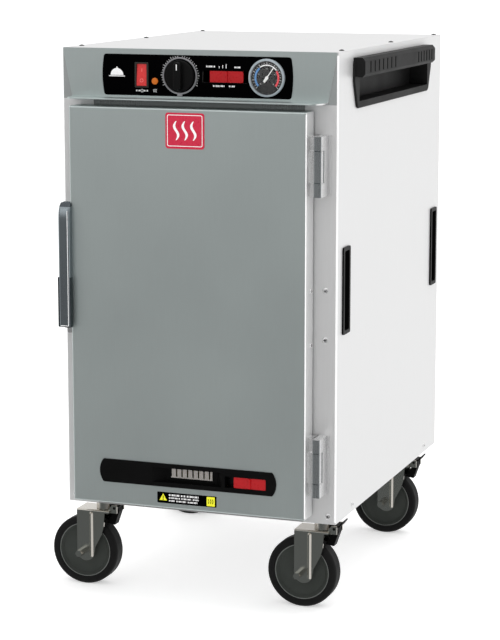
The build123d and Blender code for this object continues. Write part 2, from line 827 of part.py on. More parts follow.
# ---------------------------------------------------------------- side handles and slot bezels
grip_back_y = handle_back_y - grip_cutback
front_ribs = [handle_front_y + 36.0 + 25.4 * rib for rib in range(7)]
back_ribs = [grip_back_y - 23.0 - 18.3 * rib for rib in range(6)]
with BuildPart() as side_handles:
    with BuildSketch(facing_right(half_width)) as handle_outline:
        with BuildLine():
            Polyline(
                (handle_front_y + handle_taper, handle_foot_z),
                (handle_back_y - handle_taper, handle_foot_z),
                (handle_back_y, handle_foot_z + handle_height * 0.55),
                (handle_back_y, handle_top_z),
                (handle_front_y, handle_top_z),
                (handle_front_y, handle_foot_z + handle_height * 0.55),
                close=True,
            )
        make_face()
        fillet(handle_outline.vertices(), 12)
    extrude(amount=handle_flange)
    fillet(side_handles.edges().group_by(Axis.X)[-1], 2)
    # Pocket for the fingers
    with BuildSketch(facing_right(half_width)):
        with Locations((handle_mid_y, pocket_mid_z)):
            Rectangle(pocket_length + 2 * handle_wall, pocket_height + 2 * handle_wall)
    extrude(amount=-handle_pocket_depth)
    with BuildSketch(facing_right(half_width + grip_proud)):
        with Locations((handle_mid_y, pocket_mid_z)):
            Rectangle(pocket_length, pocket_height)
    extrude(amount=-(grip_proud + handle_pocket_depth - handle_wall), mode=Mode.SUBTRACT)
    # Grip along the top, closed at both ends
    with BuildSketch(Plane(origin=(0, handle_front_y + 4, 0), x_dir=(1, 0, 0), z_dir=(0, -1, 0))):
        with BuildLine():
            Polyline(
                (half_width, handle_top_z + 2),
                (half_width + grip_proud - 5, handle_top_z + 2),
                (half_width + grip_proud, handle_top_z - 4),
                (half_width + grip_proud, grip_foot_z + 5),
                (half_width + grip_proud - 5, grip_foot_z),
                (half_width + handle_flange + 4, grip_foot_z),
                (half_width + handle_flange + 4, handle_top_z - 12),
                (half_width, handle_top_z - 12),
                close=True,
            )
        make_face()
    extrude(amount=-(grip_back_y - handle_front_y - 4))
    grip_edges = side_handles.edges().filter_by(Axis.Y).group_by(Axis.X)[-1]
    fillet(grip_edges, 4)
    for end_y in (handle_front_y + 4, grip_back_y - 12):
        block(
            (half_width, end_y, grip_foot_z + 1),
            (half_width + handle_flange + 5, end_y + 12, handle_top_z - 10),
        )
    for rib_y in front_ribs + back_ribs:
        block(
            (half_width + grip_proud - 1.2, rib_y - 3, grip_foot_z + 7),
            (half_width + grip_proud + 1, rib_y + 3, handle_top_z - 5),
            Mode.SUBTRACT,
        )
    mirror(about=Plane.YZ)
side_handles.part.label = "side_handles"
export_step(side_handles.part, "parts/side_handles.step")


with BuildPart() as side_slot_bezels:
    for slot_y in slot_bezel_ys:
        with BuildSketch(facing_right(half_width)):
            with Locations((slot_y, slot_bezel_z)):
                RectangleRounded(*slot_bezel_size, radius=4)
        extrude(amount=slot_bezel_proud)
        with BuildSketch(facing_right(half_width)):
            with Locations((slot_y, slot_bezel_z)):
                Rectangle(
                    slot_bezel_size[0] - slot_bezel_rim - 2,
                    slot_bezel_size[1] - slot_bezel_rim - 2,
                )
        extrude(amount=-slot_bezel_depth)
        with BuildSketch(facing_right(half_width + slot_bezel_proud)):
            with Locations((slot_y, slot_bezel_z)):
                RectangleRounded(
                    slot_bezel_size[0] - 2 * slot_bezel_rim,
                    slot_bezel_size[1] - 2 * slot_bezel_rim,
                    radius=3,
                )
        extrude(amount=-(slot_bezel_proud + slot_bezel_depth - 3), mode=Mode.SUBTRACT)
    mirror(about=Plane.YZ)
side_slot_bezels.part.label = "side_slot_bezels"
export_step(side_slot_bezels.part, "parts/side_slot_bezels.step")


screw_faces = (
    (Plane.XY.offset(top_z), top_screws),
    (facing_front(front_y), post_screws),
    (facing_back(back_y), [(-x, z) for x, z in rear_screws]),
    (facing_right(half_width), side_screws),
    (Plane(origin=(-half_width, 0, 0), x_dir=(0, -1, 0), z_dir=(-1, 0, 0)), [(-y, z) for y, z in side_screws]),
)
with BuildPart() as cabinet_screws:
    # A dome head on the face and a short shank through the sheets, on every face in turn
    for face, places in screw_faces:
        with BuildSketch(face):
            with Locations(*places):
                Circle(screw_head_radius)
        extrude(amount=screw_head_height, taper=20)
        with BuildSketch(face):
            with Locations(*places):
                Circle(screw_radius)
        extrude(amount=-screw_length)
cabinet_screws.part.label = "cabinet_screws"
export_step(cabinet_screws.part, "parts/cabinet_screws.step")


socket_size = (25.0, 17.0)
with BuildPart() as power_inlet:
    with BuildSketch(facing_back(back_y)):
        with Locations((-inlet_x, inlet_z)):
            RectangleRounded(*inlet_size, radius=3)
    extrude(amount=2.5)
    with BuildSketch(facing_back(back_y)):
        with Locations((-inlet_x, inlet_z)):
            Rectangle(*inlet_body)
    extrude(amount=-26)
    with BuildSketch(facing_back(back_y + 2.5)):
        with Locations((-inlet_x, inlet_z)):
            RectangleRounded(*socket_size, radius=2)
    extrude(amount=-20, mode=Mode.SUBTRACT)
    with BuildSketch(facing_back(back_y + 2.5 - 20)):
        with Locations((-inlet_x - 7, inlet_z - 2), (-inlet_x, inlet_z + 3), (-inlet_x + 7, inlet_z - 2)):
            Rectangle(2, 4)
    extrude(amount=10)
power_inlet.part.label = "power_inlet"
export_step(power_inlet.part, "parts/power_inlet.step")


# ---------------------------------------------------------------- door
def door_holes(grow):
    """The vent's opening through a door sheet, drawn on a plane that faces the front."""
    with Locations(((vent_left + vent_right) / 2, vent_z)):
        Rectangle(vent_right - vent_left - 10 + grow, vent_height - 8 + grow)


with BuildPart() as door_skin:
    block(
        (door_left, door_front_y, door_bottom_z),
        (door_right, door_back_y - skin, door_top_z),
    )
    fillet(door_skin.edges().filter_by(Axis.Y), 2.0)
    fillet(door_skin.edges().group_by(Axis.Y)[0], door_edge_radius)
    block(
        (
            door_left + door_skin_sheet,
            door_front_y + door_skin_sheet,
            door_bottom_z + door_skin_sheet,
        ),
        (door_right - door_skin_sheet, door_back_y, door_top_z - door_skin_sheet),
        Mode.SUBTRACT,
    )
    with BuildSketch(facing_front(door_front_y + 3)):
        door_holes(0)
    extrude(amount=5, mode=Mode.SUBTRACT)
door_skin.part.label = "door_skin"
export_step(door_skin.part, "parts/door_skin.step")


plug_half = opening_half - plug_clearance
plug_low_z = opening_bottom_z + plug_clearance
plug_high_z = opening_top_z - plug_clearance
with BuildPart() as door_liner:
    block(
        (door_left + 1, door_back_y - skin, door_bottom_z + 1),
        (door_right - 1, door_back_y, door_top_z - 1),
    )
    block(
        (-plug_half, door_back_y, plug_low_z),
        (plug_half, front_y + plug_height, plug_high_z),
    )
    fillet(door_liner.edges().group_by(Axis.Y)[-1], 3)
    block(
        (-plug_half + skin, door_back_y - 2 * skin, plug_low_z + skin),
        (plug_half - skin, front_y + plug_height - skin, plug_high_z - skin),
        Mode.SUBTRACT,
    )
door_liner.part.label = "door_liner"
export_step(door_liner.part, "parts/door_liner.step")


shutter_left = slot_first - slot_pitch - tab_travel
with BuildPart() as door_insulation:
    block(
        (
            door_left + door_skin_sheet + 0.5,
            door_front_y + door_skin_sheet + 0.5,
            door_bottom_z + door_skin_sheet + 0.5,
        ),
        (
            door_right - door_skin_sheet - 0.5,
            door_back_y - skin - 0.5,
            door_top_z - door_skin_sheet - 0.5,
        ),
    )
    block(
        (vent_left - 2, door_front_y, vent_z - vent_height / 2 - 2),
        (vent_right + 2, vent_floor_y + 8, vent_z + vent_height / 2 + 2),
        Mode.SUBTRACT,
    )
door_insulation.part.label = "door_insulation"
export_step(door_insulation.part, "parts/door_insulation.step")


with BuildPart() as door_gasket:
    seal_inner = opening_half + 2.0
    block(
        (
            -seal_inner - gasket_width,
            door_back_y,
            opening_bottom_z - 2 - gasket_width,
        ),
        (seal_inner + gasket_width, door_back_y + gasket_thickness, opening_top_z + 2 + gasket_width),
    )
    fillet(door_gasket.edges().group_by(Axis.Y)[-1], 1.0)
    block(
        (-seal_inner, door_back_y - 1, opening_bottom_z - 2),
        (seal_inner, front_y + 1, opening_top_z + 2),
        Mode.SUBTRACT,
    )
door_gasket.part.label = "door_gasket"
export_step(door_gasket.part, "parts/door_gasket.step")


# ---------------------------------------------------------------- vent in the door
recess_ends = (-71.0, 58.0)      # at the face of the bezel
recess_floor_ends = (-49.0, 47.0)
recess_half = 13.0
tab_window = (
    tab_x - tab_size[0] / 2 - tab_travel - 1.0,
    tab_x + tab_size[0] / 2 + 1.0,
)
with BuildPart() as vent_bezel:
    low = vent_z - vent_height / 2
    high = vent_z + vent_height / 2
    with BuildSketch(facing_front(door_front_y)) as bezel_face:
        with BuildLine():
            Line((vent_left, low), (vent_right, low))
            ThreePointArc((vent_right, low), (vent_right + vent_bow, vent_z), (vent_right, high))
            Line((vent_right, high), (vent_left, high))
            ThreePointArc((vent_left, high), (vent_left - vent_bow, vent_z), (vent_left, low))
        make_face()
        fillet(bezel_face.vertices(), 4)
    extrude(amount=vent_proud)
    fillet(vent_bezel.edges().group_by(Axis.Y)[0], 1.0)
    with BuildSketch(facing_front(door_front_y)):
        with Locations(((vent_left + vent_right) / 2, vent_z)):
            Rectangle(vent_right - vent_left - 12, vent_height - 10)
    extrude(amount=-vent_depth)
    # Recess with a ramp at each end and the slots through its floor
    with BuildSketch(Plane.XY.offset(vent_z - recess_half)):
        with BuildLine():
            Polyline(
                (recess_ends[0], vent_front_y - 1),
                (recess_ends[0], vent_front_y),
                (recess_floor_ends[0], vent_floor_y - 2),
                (recess_floor_ends[1], vent_floor_y - 2),
                (recess_ends[1], vent_front_y),
                (recess_ends[1], vent_front_y - 1),
                close=True,
            )
        make_face()
    extrude(amount=2 * recess_half, mode=Mode.SUBTRACT)
    with BuildSketch(facing_front(vent_floor_y + 1)):
        for slot in range(slot_count):
            with Locations((slot_first + slot * slot_pitch, slot_z)):
                SlotOverall(slot_size[1], slot_size[0], rotation=90)
    extrude(amount=vent_depth, mode=Mode.SUBTRACT)
    with BuildSketch(facing_front(vent_front_y)):
        with Locations(((tab_window[0] + tab_window[1]) / 2, tab_z)):
            Rectangle(tab_window[1] - tab_window[0], tab_size[1] + 2 * sliding_clearance)
    extrude(amount=-(vent_depth + vent_proud + 1), mode=Mode.SUBTRACT)
vent_bezel.part.label = "vent_bezel"
export_step(vent_bezel.part, "parts/vent_bezel.step")


with BuildPart() as vent_slider:
    with BuildSketch(facing_front(shutter_y)):
        with Locations((tab_x, tab_z)):
            RectangleRounded(*tab_size, radius=1.5)
    extrude(amount=shutter_y - vent_front_y - 1.2)
    with BuildSketch(facing_front(vent_front_y + 1.2)):
        with Locations((tab_x, tab_z)):
            Rectangle(4, tab_size[1] - 1)
    extrude(amount=2.4, taper=12)
    # Shutter strip behind the slots
    shutter_right = tab_x + tab_size[0] / 2 - 2
    block(
        (shutter_left + tab_travel, shutter_y, vent_z - 12),
        (shutter_right, shutter_y + 1.5, vent_z + 12),
    )
    with BuildSketch(facing_front(shutter_y + 2)):
        for slot in range(slot_count):
            with Locations((slot_first + slot * slot_pitch, slot_z)):
                Rectangle(slot_size[0] + 0.6, slot_size[1] + 2)
    extrude(amount=3, mode=Mode.SUBTRACT)
vent_slider.part.label = "vent_slider"
export_step(vent_slider.part, "parts/vent_slider.step")


# ---------------------------------------------------------------- hinges
knuckle_sweep = (knuckle_half - knuckle_round) * 2 ** 0.5 + knuckle_round
leaf_inner_x = hinge_axis_x - knuckle_sweep - 0.8
leaf_front_y = door_front_y + leaf_setback
block_left_x = hinge_axis_x - knuckle_half
block_right_x = hinge_axis_x + knuckle_half
block_front_y = hinge_axis_y + knuckle_sweep + 0.8
flange_right_x = block_left_x + leaf_flange[0]

with BuildPart() as hinge_frame_leaves:
    for centre in hinge_centres:
        foot = base_z + centre - hinge_height / 2
        head = base_z + centre + hinge_height / 2
        block(
            (block_left_x, block_front_y, foot),
            (block_right_x, front_y, head),
        )
        block(
            (block_left_x, front_y - leaf_flange[1], foot),
            (flange_right_x, front_y, head),
        )
        for low, high in (
            (foot, base_z + centre - hinge_knuckle / 2 - knuckle_gap),
            (base_z + centre + hinge_knuckle / 2 + knuckle_gap, head),
        ):
            block((block_left_x, hinge_axis_y, low), (block_right_x, block_front_y, high))
            with BuildSketch(Plane.XY.offset(low)):
                with Locations((hinge_axis_x, hinge_axis_y)):
                    RectangleRounded(2 * knuckle_half, 2 * knuckle_half, radius=knuckle_round)
            extrude(amount=high - low)
        with BuildSketch(Plane.XY.offset(foot)):
            with Locations((hinge_axis_x, hinge_axis_y)):
                Circle(hinge_pin_radius + running_clearance)
        extrude(amount=hinge_height, mode=Mode.SUBTRACT)
hinge_frame_leaves.part.label = "hinge_frame_leaves"
export_step(hinge_frame_leaves.part, "parts/hinge_frame_leaves.step")


with BuildPart() as hinge_door_leaves:
    for centre in hinge_centres:
        foot = base_z + centre - hinge_height / 2
        low = base_z + centre - hinge_knuckle / 2
        block(
            (door_right, leaf_front_y, foot),
            (leaf_inner_x, door_back_y - 2, foot + hinge_height),
        )
        block(
            (door_right, hinge_axis_y, low),
            (hinge_axis_x, hinge_axis_y + knuckle_half, low + hinge_knuckle),
        )
        with BuildSketch(Plane.XY.offset(low)):
            with Locations((hinge_axis_x, hinge_axis_y)):
                RectangleRounded(2 * knuckle_half, 2 * knuckle_half, radius=knuckle_round)
        extrude(amount=hinge_knuckle)
        with BuildSketch(Plane.XY.offset(low)):
            with Locations((hinge_axis_x, hinge_axis_y)):
                Circle(hinge_pin_radius)
        extrude(amount=hinge_knuckle, mode=Mode.SUBTRACT)
hinge_door_leaves.part.label = "hinge_door_leaves"
export_step(hinge_door_leaves.part, "parts/hinge_door_leaves.step")


with BuildPart() as hinge_pins:
    for centre in hinge_centres:
        with BuildSketch(Plane.XY.offset(base_z + centre - hinge_height / 2)):
            with Locations((hinge_axis_x, hinge_axis_y)):
                Circle(hinge_pin_radius)
        extrude(amount=hinge_height)
hinge_pins.part.label = "hinge_pins"
export_step(hinge_pins.part, "parts/hinge_pins.step")


# ---------------------------------------------------------------- latch
ear = 8.0
with BuildPart() as latch_base:
    block(
        (-half_width + 1, lever_axis_y + 8, latch_z),
        (door_left, front_y - latch_gap, latch_z + latch_body_height),
    )
    fillet(latch_base.edges().filter_by(Axis.Z).sort_by(Axis.X)[:2], 3)
    for ear_z in (latch_z, latch_z + latch_body_height - ear):
        block(
            (lever_axis_x - 7, lever_axis_y, ear_z),
            (lever_axis_x + 7, lever_axis_y + 8, ear_z + ear),
        )
        with BuildSketch(Plane.XY.offset(ear_z)):
            with Locations((lever_axis_x, lever_axis_y)):
                Circle(7)
        extrude(amount=ear)
    with BuildSketch(Plane.XY.offset(latch_z)):
        with Locations((lever_axis_x, lever_axis_y)):
            Circle(2.5)
    extrude(amount=latch_body_height)
latch_base.part.label = "latch_base"
export_step(latch_base.part, "parts/latch_base.step")


with BuildPart() as latch_lever:
    lever_top_z = lever_z + lever_height
    curve = 32.0
    with BuildSketch(facing_right(lever_left)):
        with BuildLine():
            Line((lever_back_y, lever_z), (lever_front_y, lever_z))
            Line((lever_front_y, lever_z), (lever_front_y, lever_top_z - curve))
            Spline(
                (lever_front_y, lever_top_z - curve),
                (lever_back_y, lever_top_z),
                tangents=((0, 1), (1, 0.5)),
            )
            Line((lever_back_y, lever_top_z), (lever_back_y, lever_z))
        make_face()
    extrude(amount=lever_width)
    front_edges = latch_lever.edges().filter_by(Axis.Z).group_by(Axis.Y)[0]
    fillet(front_edges, 4.0)
    block(
        (lever_left + lever_wall, lever_front_y + lever_wall, lever_z + 6),
        (lever_right - lever_wall, lever_back_y + 1, lever_top_z - curve),
        Mode.SUBTRACT,
    )
    # Barrel that turns on the latch pin, joined to the back of the paddle
    barrel_low = latch_z + ear + knuckle_gap
    barrel_high = latch_z + latch_body_height - ear - knuckle_gap
    block(
        (lever_axis_x - 5.5, lever_front_y + 1, barrel_low),
        (lever_axis_x + 5.5, lever_axis_y, barrel_high),
    )
    with BuildSketch(Plane.XY.offset(barrel_low)):
        with Locations((lever_axis_x, lever_axis_y)):
            Circle(5.5)
    extrude(amount=barrel_high - barrel_low)
    with BuildSketch(Plane.XY.offset(barrel_low)):
        with Locations((lever_axis_x, lever_axis_y)):
            Circle(2.5 + running_clearance)
    extrude(amount=barrel_high - barrel_low, mode=Mode.SUBTRACT)
latch_lever.part.label = "latch_lever"
export_step(latch_lever.part, "parts/latch_lever.step")


with BuildPart() as latch_strike:
    block(
        (-half_width + 3.5, front_y - 3, latch_z - 16),
        (door_left - 1, front_y, latch_z + latch_body_height),
    )
    fillet(latch_strike.edges().filter_by(Axis.Y), 1.5)
latch_strike.part.label = "latch_strike"
export_step(latch_strike.part, "parts/latch_strike.step")


# ---------------------------------------------------------------- casters
with BuildPart() as caster_plates:
    for x, y in caster_places.values():
        with BuildSketch(Plane.XY.offset(plate_z)):
            with Locations((x, y)):
                RectangleRounded(*plate_size, radius=6)
        extrude(amount=plate_thickness)
        with BuildSketch(Plane.XY.offset(race_foot_z)):
            with Locations((x, y)):
                Circle(17.5)
        extrude(amount=race_height)
        with BuildSketch(Plane.XY.offset(plate_z - 5)):
            with Locations((x, y)):
                Circle(26)
        extrude(amount=5)
        with BuildSketch(Plane.XY.offset(crown_z - 1)):
            with Locations((x, y)):
                Circle(kingpin_radius)
        extrude(amount=crown_thickness + swivel_gap + 2)
        with BuildSketch(Plane.XY.offset(crown_z - 5.5)):
            with Locations((x, y)):
                RegularPolygon(radius=10.5, side_count=6)
        extrude(amount=5.0)
    with BuildSketch(Plane.XY.offset(plate_z)):
        with Locations(*bolt_places):
            Circle(4.2)
    extrude(amount=plate_thickness, mode=Mode.SUBTRACT)
caster_plates.part.label = "caster_plates"
export_step(caster_plates.part, "parts/caster_plates.step")


with BuildPart() as caster_bolts:
    with BuildSketch(Plane.XY.offset(plate_z - 4)):
        with Locations(*bolt_places):
            RegularPolygon(radius=6.5, side_count=6)
    extrude(amount=4)
    with BuildSketch(Plane.XY.offset(plate_z)):
        with Locations(*bolt_places):
            Circle(4)
    extrude(amount=plate_thickness + base_sheet + 6)
caster_bolts.part.label = "caster_bolts"
export_step(caster_bolts.part, "parts/caster_bolts.step")


hub_radius = wheel_diameter / 2 - tyre_depth
leg_tail = 11.0                 # axle to the trailing edge of a leg
leg_reach = 43.7                # axle to the leading edge of a leg, at the crown
rib_offset = 17.0               # axle to the pressed rib
nut_radius = 6.5
nut_length = 20.0               # outer end of the axle
brake_x = 23.0                  # brake pivot, ahead of the swivel axis
brake_z = crown_top_z + 4.5
brake_ear = 3.0
brake_half = 14.5

for corner, (swivel_x, swivel_y) in caster_places.items():
    axle_x = swivel_x - caster_trail
    leg_inner = fork_outer - fork_leg
    pivot_x = swivel_x + brake_x
    crown_end_x = pivot_x - 8.0

    with BuildPart() as fork:
        # Crown round the kingpin
        block(
            (axle_x - leg_tail, swivel_y - fork_outer, crown_z),
            (crown_end_x, swivel_y + fork_outer, crown_top_z),
        )
        fillet(fork.edges().filter_by(Axis.X).group_by(Axis.Z)[-1], 3)
        for side in (-1, 1):
            face_y = swivel_y + side * fork_outer
            leg_plane = facing_front(face_y if side < 0 else swivel_y + leg_inner)
            with BuildSketch(leg_plane):
                with BuildLine():
                    Polyline(
                        (axle_x - leg_tail, axle_z - 2),
                        (axle_x - leg_tail, crown_top_z - 3),
                        (axle_x + leg_reach, crown_top_z - 3),
                        (axle_x + leg_reach - 2, axle_z + 49),
                        (axle_x + leg_reach - 6.5, axle_z + 33),
                        (axle_x + rib_offset + 8, axle_z + 10),
                        (axle_x + rib_offset + 4.5, axle_z - 8),
                    )
                    ThreePointArc(
                        (axle_x + rib_offset + 4.5, axle_z - 8),
                        (axle_x + 5, axle_z - 17),
                        (axle_x - leg_tail, axle_z - 2),
                    )
                make_face()
                with Locations((axle_x, axle_z)):
                    Circle(axle_radius, mode=Mode.SUBTRACT)
            extrude(amount=-fork_leg)
            # Pressed rib down the outside of the leg
            rib_plane = facing_front(face_y) if side < 0 else facing_back(face_y)
            rib_x = -side * (axle_x + rib_offset)
            rib_foot = axle_z - 10
            rib_head = crown_top_z - 4
            with BuildSketch(rib_plane):
                with Locations((rib_x, (rib_foot + rib_head) / 2)):
                    SlotOverall(rib_head - rib_foot, 7.5, rotation=90)
            extrude(amount=3.4, taper=40)
            # Ear that carries the brake pedal
            with BuildSketch(facing_front(swivel_y + side * (brake_half + 0.5) + max(side, 0) * brake_ear)):
                with BuildLine():
                    Polyline(
                        (pivot_x - 12, crown_z),
                        (pivot_x - 12, crown_top_z),
                        (pivot_x - 5, brake_z + 5),
                        (pivot_x + 5, brake_z + 5),
                        (pivot_x + 5, crown_z),
                        close=True,
                    )
                make_face()
                with Locations((pivot_x, brake_z)):
                    Circle(2.5 + running_clearance, mode=Mode.SUBTRACT)
            extrude(amount=brake_ear)
        with BuildSketch(Plane.XY.offset(crown_z - 1)):
            with Locations((swivel_x, swivel_y)):
                Circle(kingpin_radius + running_clearance)
        extrude(amount=crown_thickness + 2, mode=Mode.SUBTRACT)
    fork.part.label = f"caster_{corner}_fork"
    export_step(fork.part, f"parts/caster_{corner}_fork.step")

    with BuildPart() as axle:
        with BuildSketch(facing_front(swivel_y + fork_outer)):
            with Locations((axle_x, axle_z)):
                Circle(axle_radius)
        extrude(amount=2 * fork_outer)
        with BuildSketch(facing_front(swivel_y - fork_outer)):
            with Locations((axle_x, axle_z)):
                RegularPolygon(radius=nut_radius, side_count=6)
        extrude(amount=nut_length)
        with BuildSketch(facing_back(swivel_y + fork_outer)):
            with Locations((-axle_x, axle_z)):
                RegularPolygon(radius=nut_radius, side_count=6)
        extrude(amount=6)
    axle.part.label = f"caster_{corner}_axle"
    export_step(axle.part, f"parts/caster_{corner}_axle.step")

    wheel_plane = Plane(origin=(axle_x, swivel_y, axle_z), x_dir=(1, 0, 0), z_dir=(0, 0, 1))
    wheel_axis = Axis((axle_x, swivel_y, axle_z), (0, 1, 0))
    bore = axle_radius + running_clearance
    with BuildPart() as hub:
        with BuildSketch(wheel_plane):
            with BuildLine():
                Polyline(
                    (bore, -20.4),
                    (13, -20.4),
                    (16, -12),
                    (hub_radius - 8, -10),
                    (hub_radius - 4, -13.5),
                    (hub_radius, -13.5),
                    (hub_radius, 13.5),
                    (hub_radius - 4, 13.5),
                    (hub_radius - 8, 10),
                    (16, 12),
                    (13, 20.4),
                    (bore, 20.4),
                    close=True,
                )
            make_face()
        revolve(axis=wheel_axis)
    hub.part.label = f"caster_{corner}_hub"
    export_step(hub.part, f"parts/caster_{corner}_hub.step")

    with BuildPart() as tyre:
        with BuildSketch(wheel_plane) as tyre_section:
            with Locations(((hub_radius + wheel_diameter / 2) / 2, 0)):
                Rectangle(tyre_depth, tyre_width)
            fillet(tyre_section.vertices().sort_by(Axis.X)[-2:], 6)
        revolve(axis=wheel_axis)
    tyre.part.label = f"caster_{corner}_tyre"
    export_step(tyre.part, f"parts/caster_{corner}_tyre.step")

    with BuildPart() as brake:
        # Barrel and pin, pedal reaching outwards and up, arm down to the tread
        with BuildSketch(facing_front(swivel_y + brake_half)):
            with Locations((pivot_x, brake_z)):
                Circle(4.2)
        extrude(amount=2 * brake_half)
        with BuildSketch(facing_front(swivel_y + brake_half + brake_ear)):
            with Locations((pivot_x, brake_z)):
                Circle(2.5)
        extrude(amount=2 * (brake_half + brake_ear))
        with BuildSketch(facing_front(swivel_y + brake_half - 0.5)):
            with BuildLine():
                Polyline(
                    (pivot_x, brake_z + 1.5),
                    (pivot_x + 9, brake_z + 3.0),
                    (pivot_x + 16, brake_z + 12.0),
                    (pivot_x + 14, brake_z + 13.5),
                    (pivot_x + 7.5, brake_z + 5.6),
                    (pivot_x, brake_z + 4.2),
                    close=True,
                )
            make_face()
        extrude(amount=2 * brake_half - 1)
        with BuildSketch(facing_front(swivel_y + 9)):
            with BuildLine():
                Polyline(
                    (pivot_x - 4.0, brake_z - 1.0),
                    (pivot_x + 4.1, brake_z - 1.0),
                    (pivot_x + 6.0, brake_z - 8.0),
                    (pivot_x - 2.7, brake_z - 33.2),
                    (pivot_x - 18.4, brake_z - 30.6),
                    (pivot_x - 7.6, brake_z - 12.5),
                    (pivot_x - 6.0, brake_z - 11.0),
                    (pivot_x - 5.4, brake_z - 6.0),
                    (pivot_x - 4.4, brake_z - 4.6),
                    close=True,
                )
            make_face()
        extrude(amount=18)
    brake.part.label = f"caster_{corner}_brake"
    export_step(brake.part, f"parts/caster_{corner}_brake.step")
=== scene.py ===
"""Studio scene of an insulated food holding cabinet: finishes, detail, floor, lights, camera."""

from __future__ import annotations

import logging
import math
from dataclasses import dataclass, field
from enum import Enum
from typing import Callable, Iterable, Sequence

import bmesh
import bpy
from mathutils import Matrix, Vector


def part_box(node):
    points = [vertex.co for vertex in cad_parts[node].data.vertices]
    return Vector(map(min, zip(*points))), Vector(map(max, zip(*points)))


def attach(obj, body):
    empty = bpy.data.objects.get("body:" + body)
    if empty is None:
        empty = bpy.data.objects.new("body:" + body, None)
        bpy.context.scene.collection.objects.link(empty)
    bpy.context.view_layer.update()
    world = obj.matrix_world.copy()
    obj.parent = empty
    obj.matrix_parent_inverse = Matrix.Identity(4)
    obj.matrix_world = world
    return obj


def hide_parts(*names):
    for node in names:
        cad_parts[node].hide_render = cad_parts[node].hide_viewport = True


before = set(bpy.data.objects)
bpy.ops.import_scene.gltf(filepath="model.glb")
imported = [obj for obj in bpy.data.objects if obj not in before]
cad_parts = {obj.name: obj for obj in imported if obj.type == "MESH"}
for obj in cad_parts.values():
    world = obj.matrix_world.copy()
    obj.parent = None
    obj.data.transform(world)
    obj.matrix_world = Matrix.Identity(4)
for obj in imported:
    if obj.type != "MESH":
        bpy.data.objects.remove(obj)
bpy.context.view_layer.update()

LOG = logging.getLogger("cabinet")
Colour = tuple[float, float, float]
Point = tuple[float, float]
Place = Callable[[Point, float], Vector]
Socket = bpy.types.NodeSocket
INK = 0.00008
WHITE = (1.0, 1.0, 1.0)


class Grain(Enum):
    """Direction in which a finish's fine grain runs."""

    UP = (1.0, 1.0, 0.02)
    ACROSS = (0.02, 1.0, 1.0)
    DEEP = (1.0, 0.02, 1.0)
    EVEN = (1.0, 1.0, 1.0)


class Facing(Enum):
    """Side of the cabinet that a flat piece looks towards."""

    FRONT = "front"
    RIGHT = "right"
    BACK = "back"
    UP = "up"


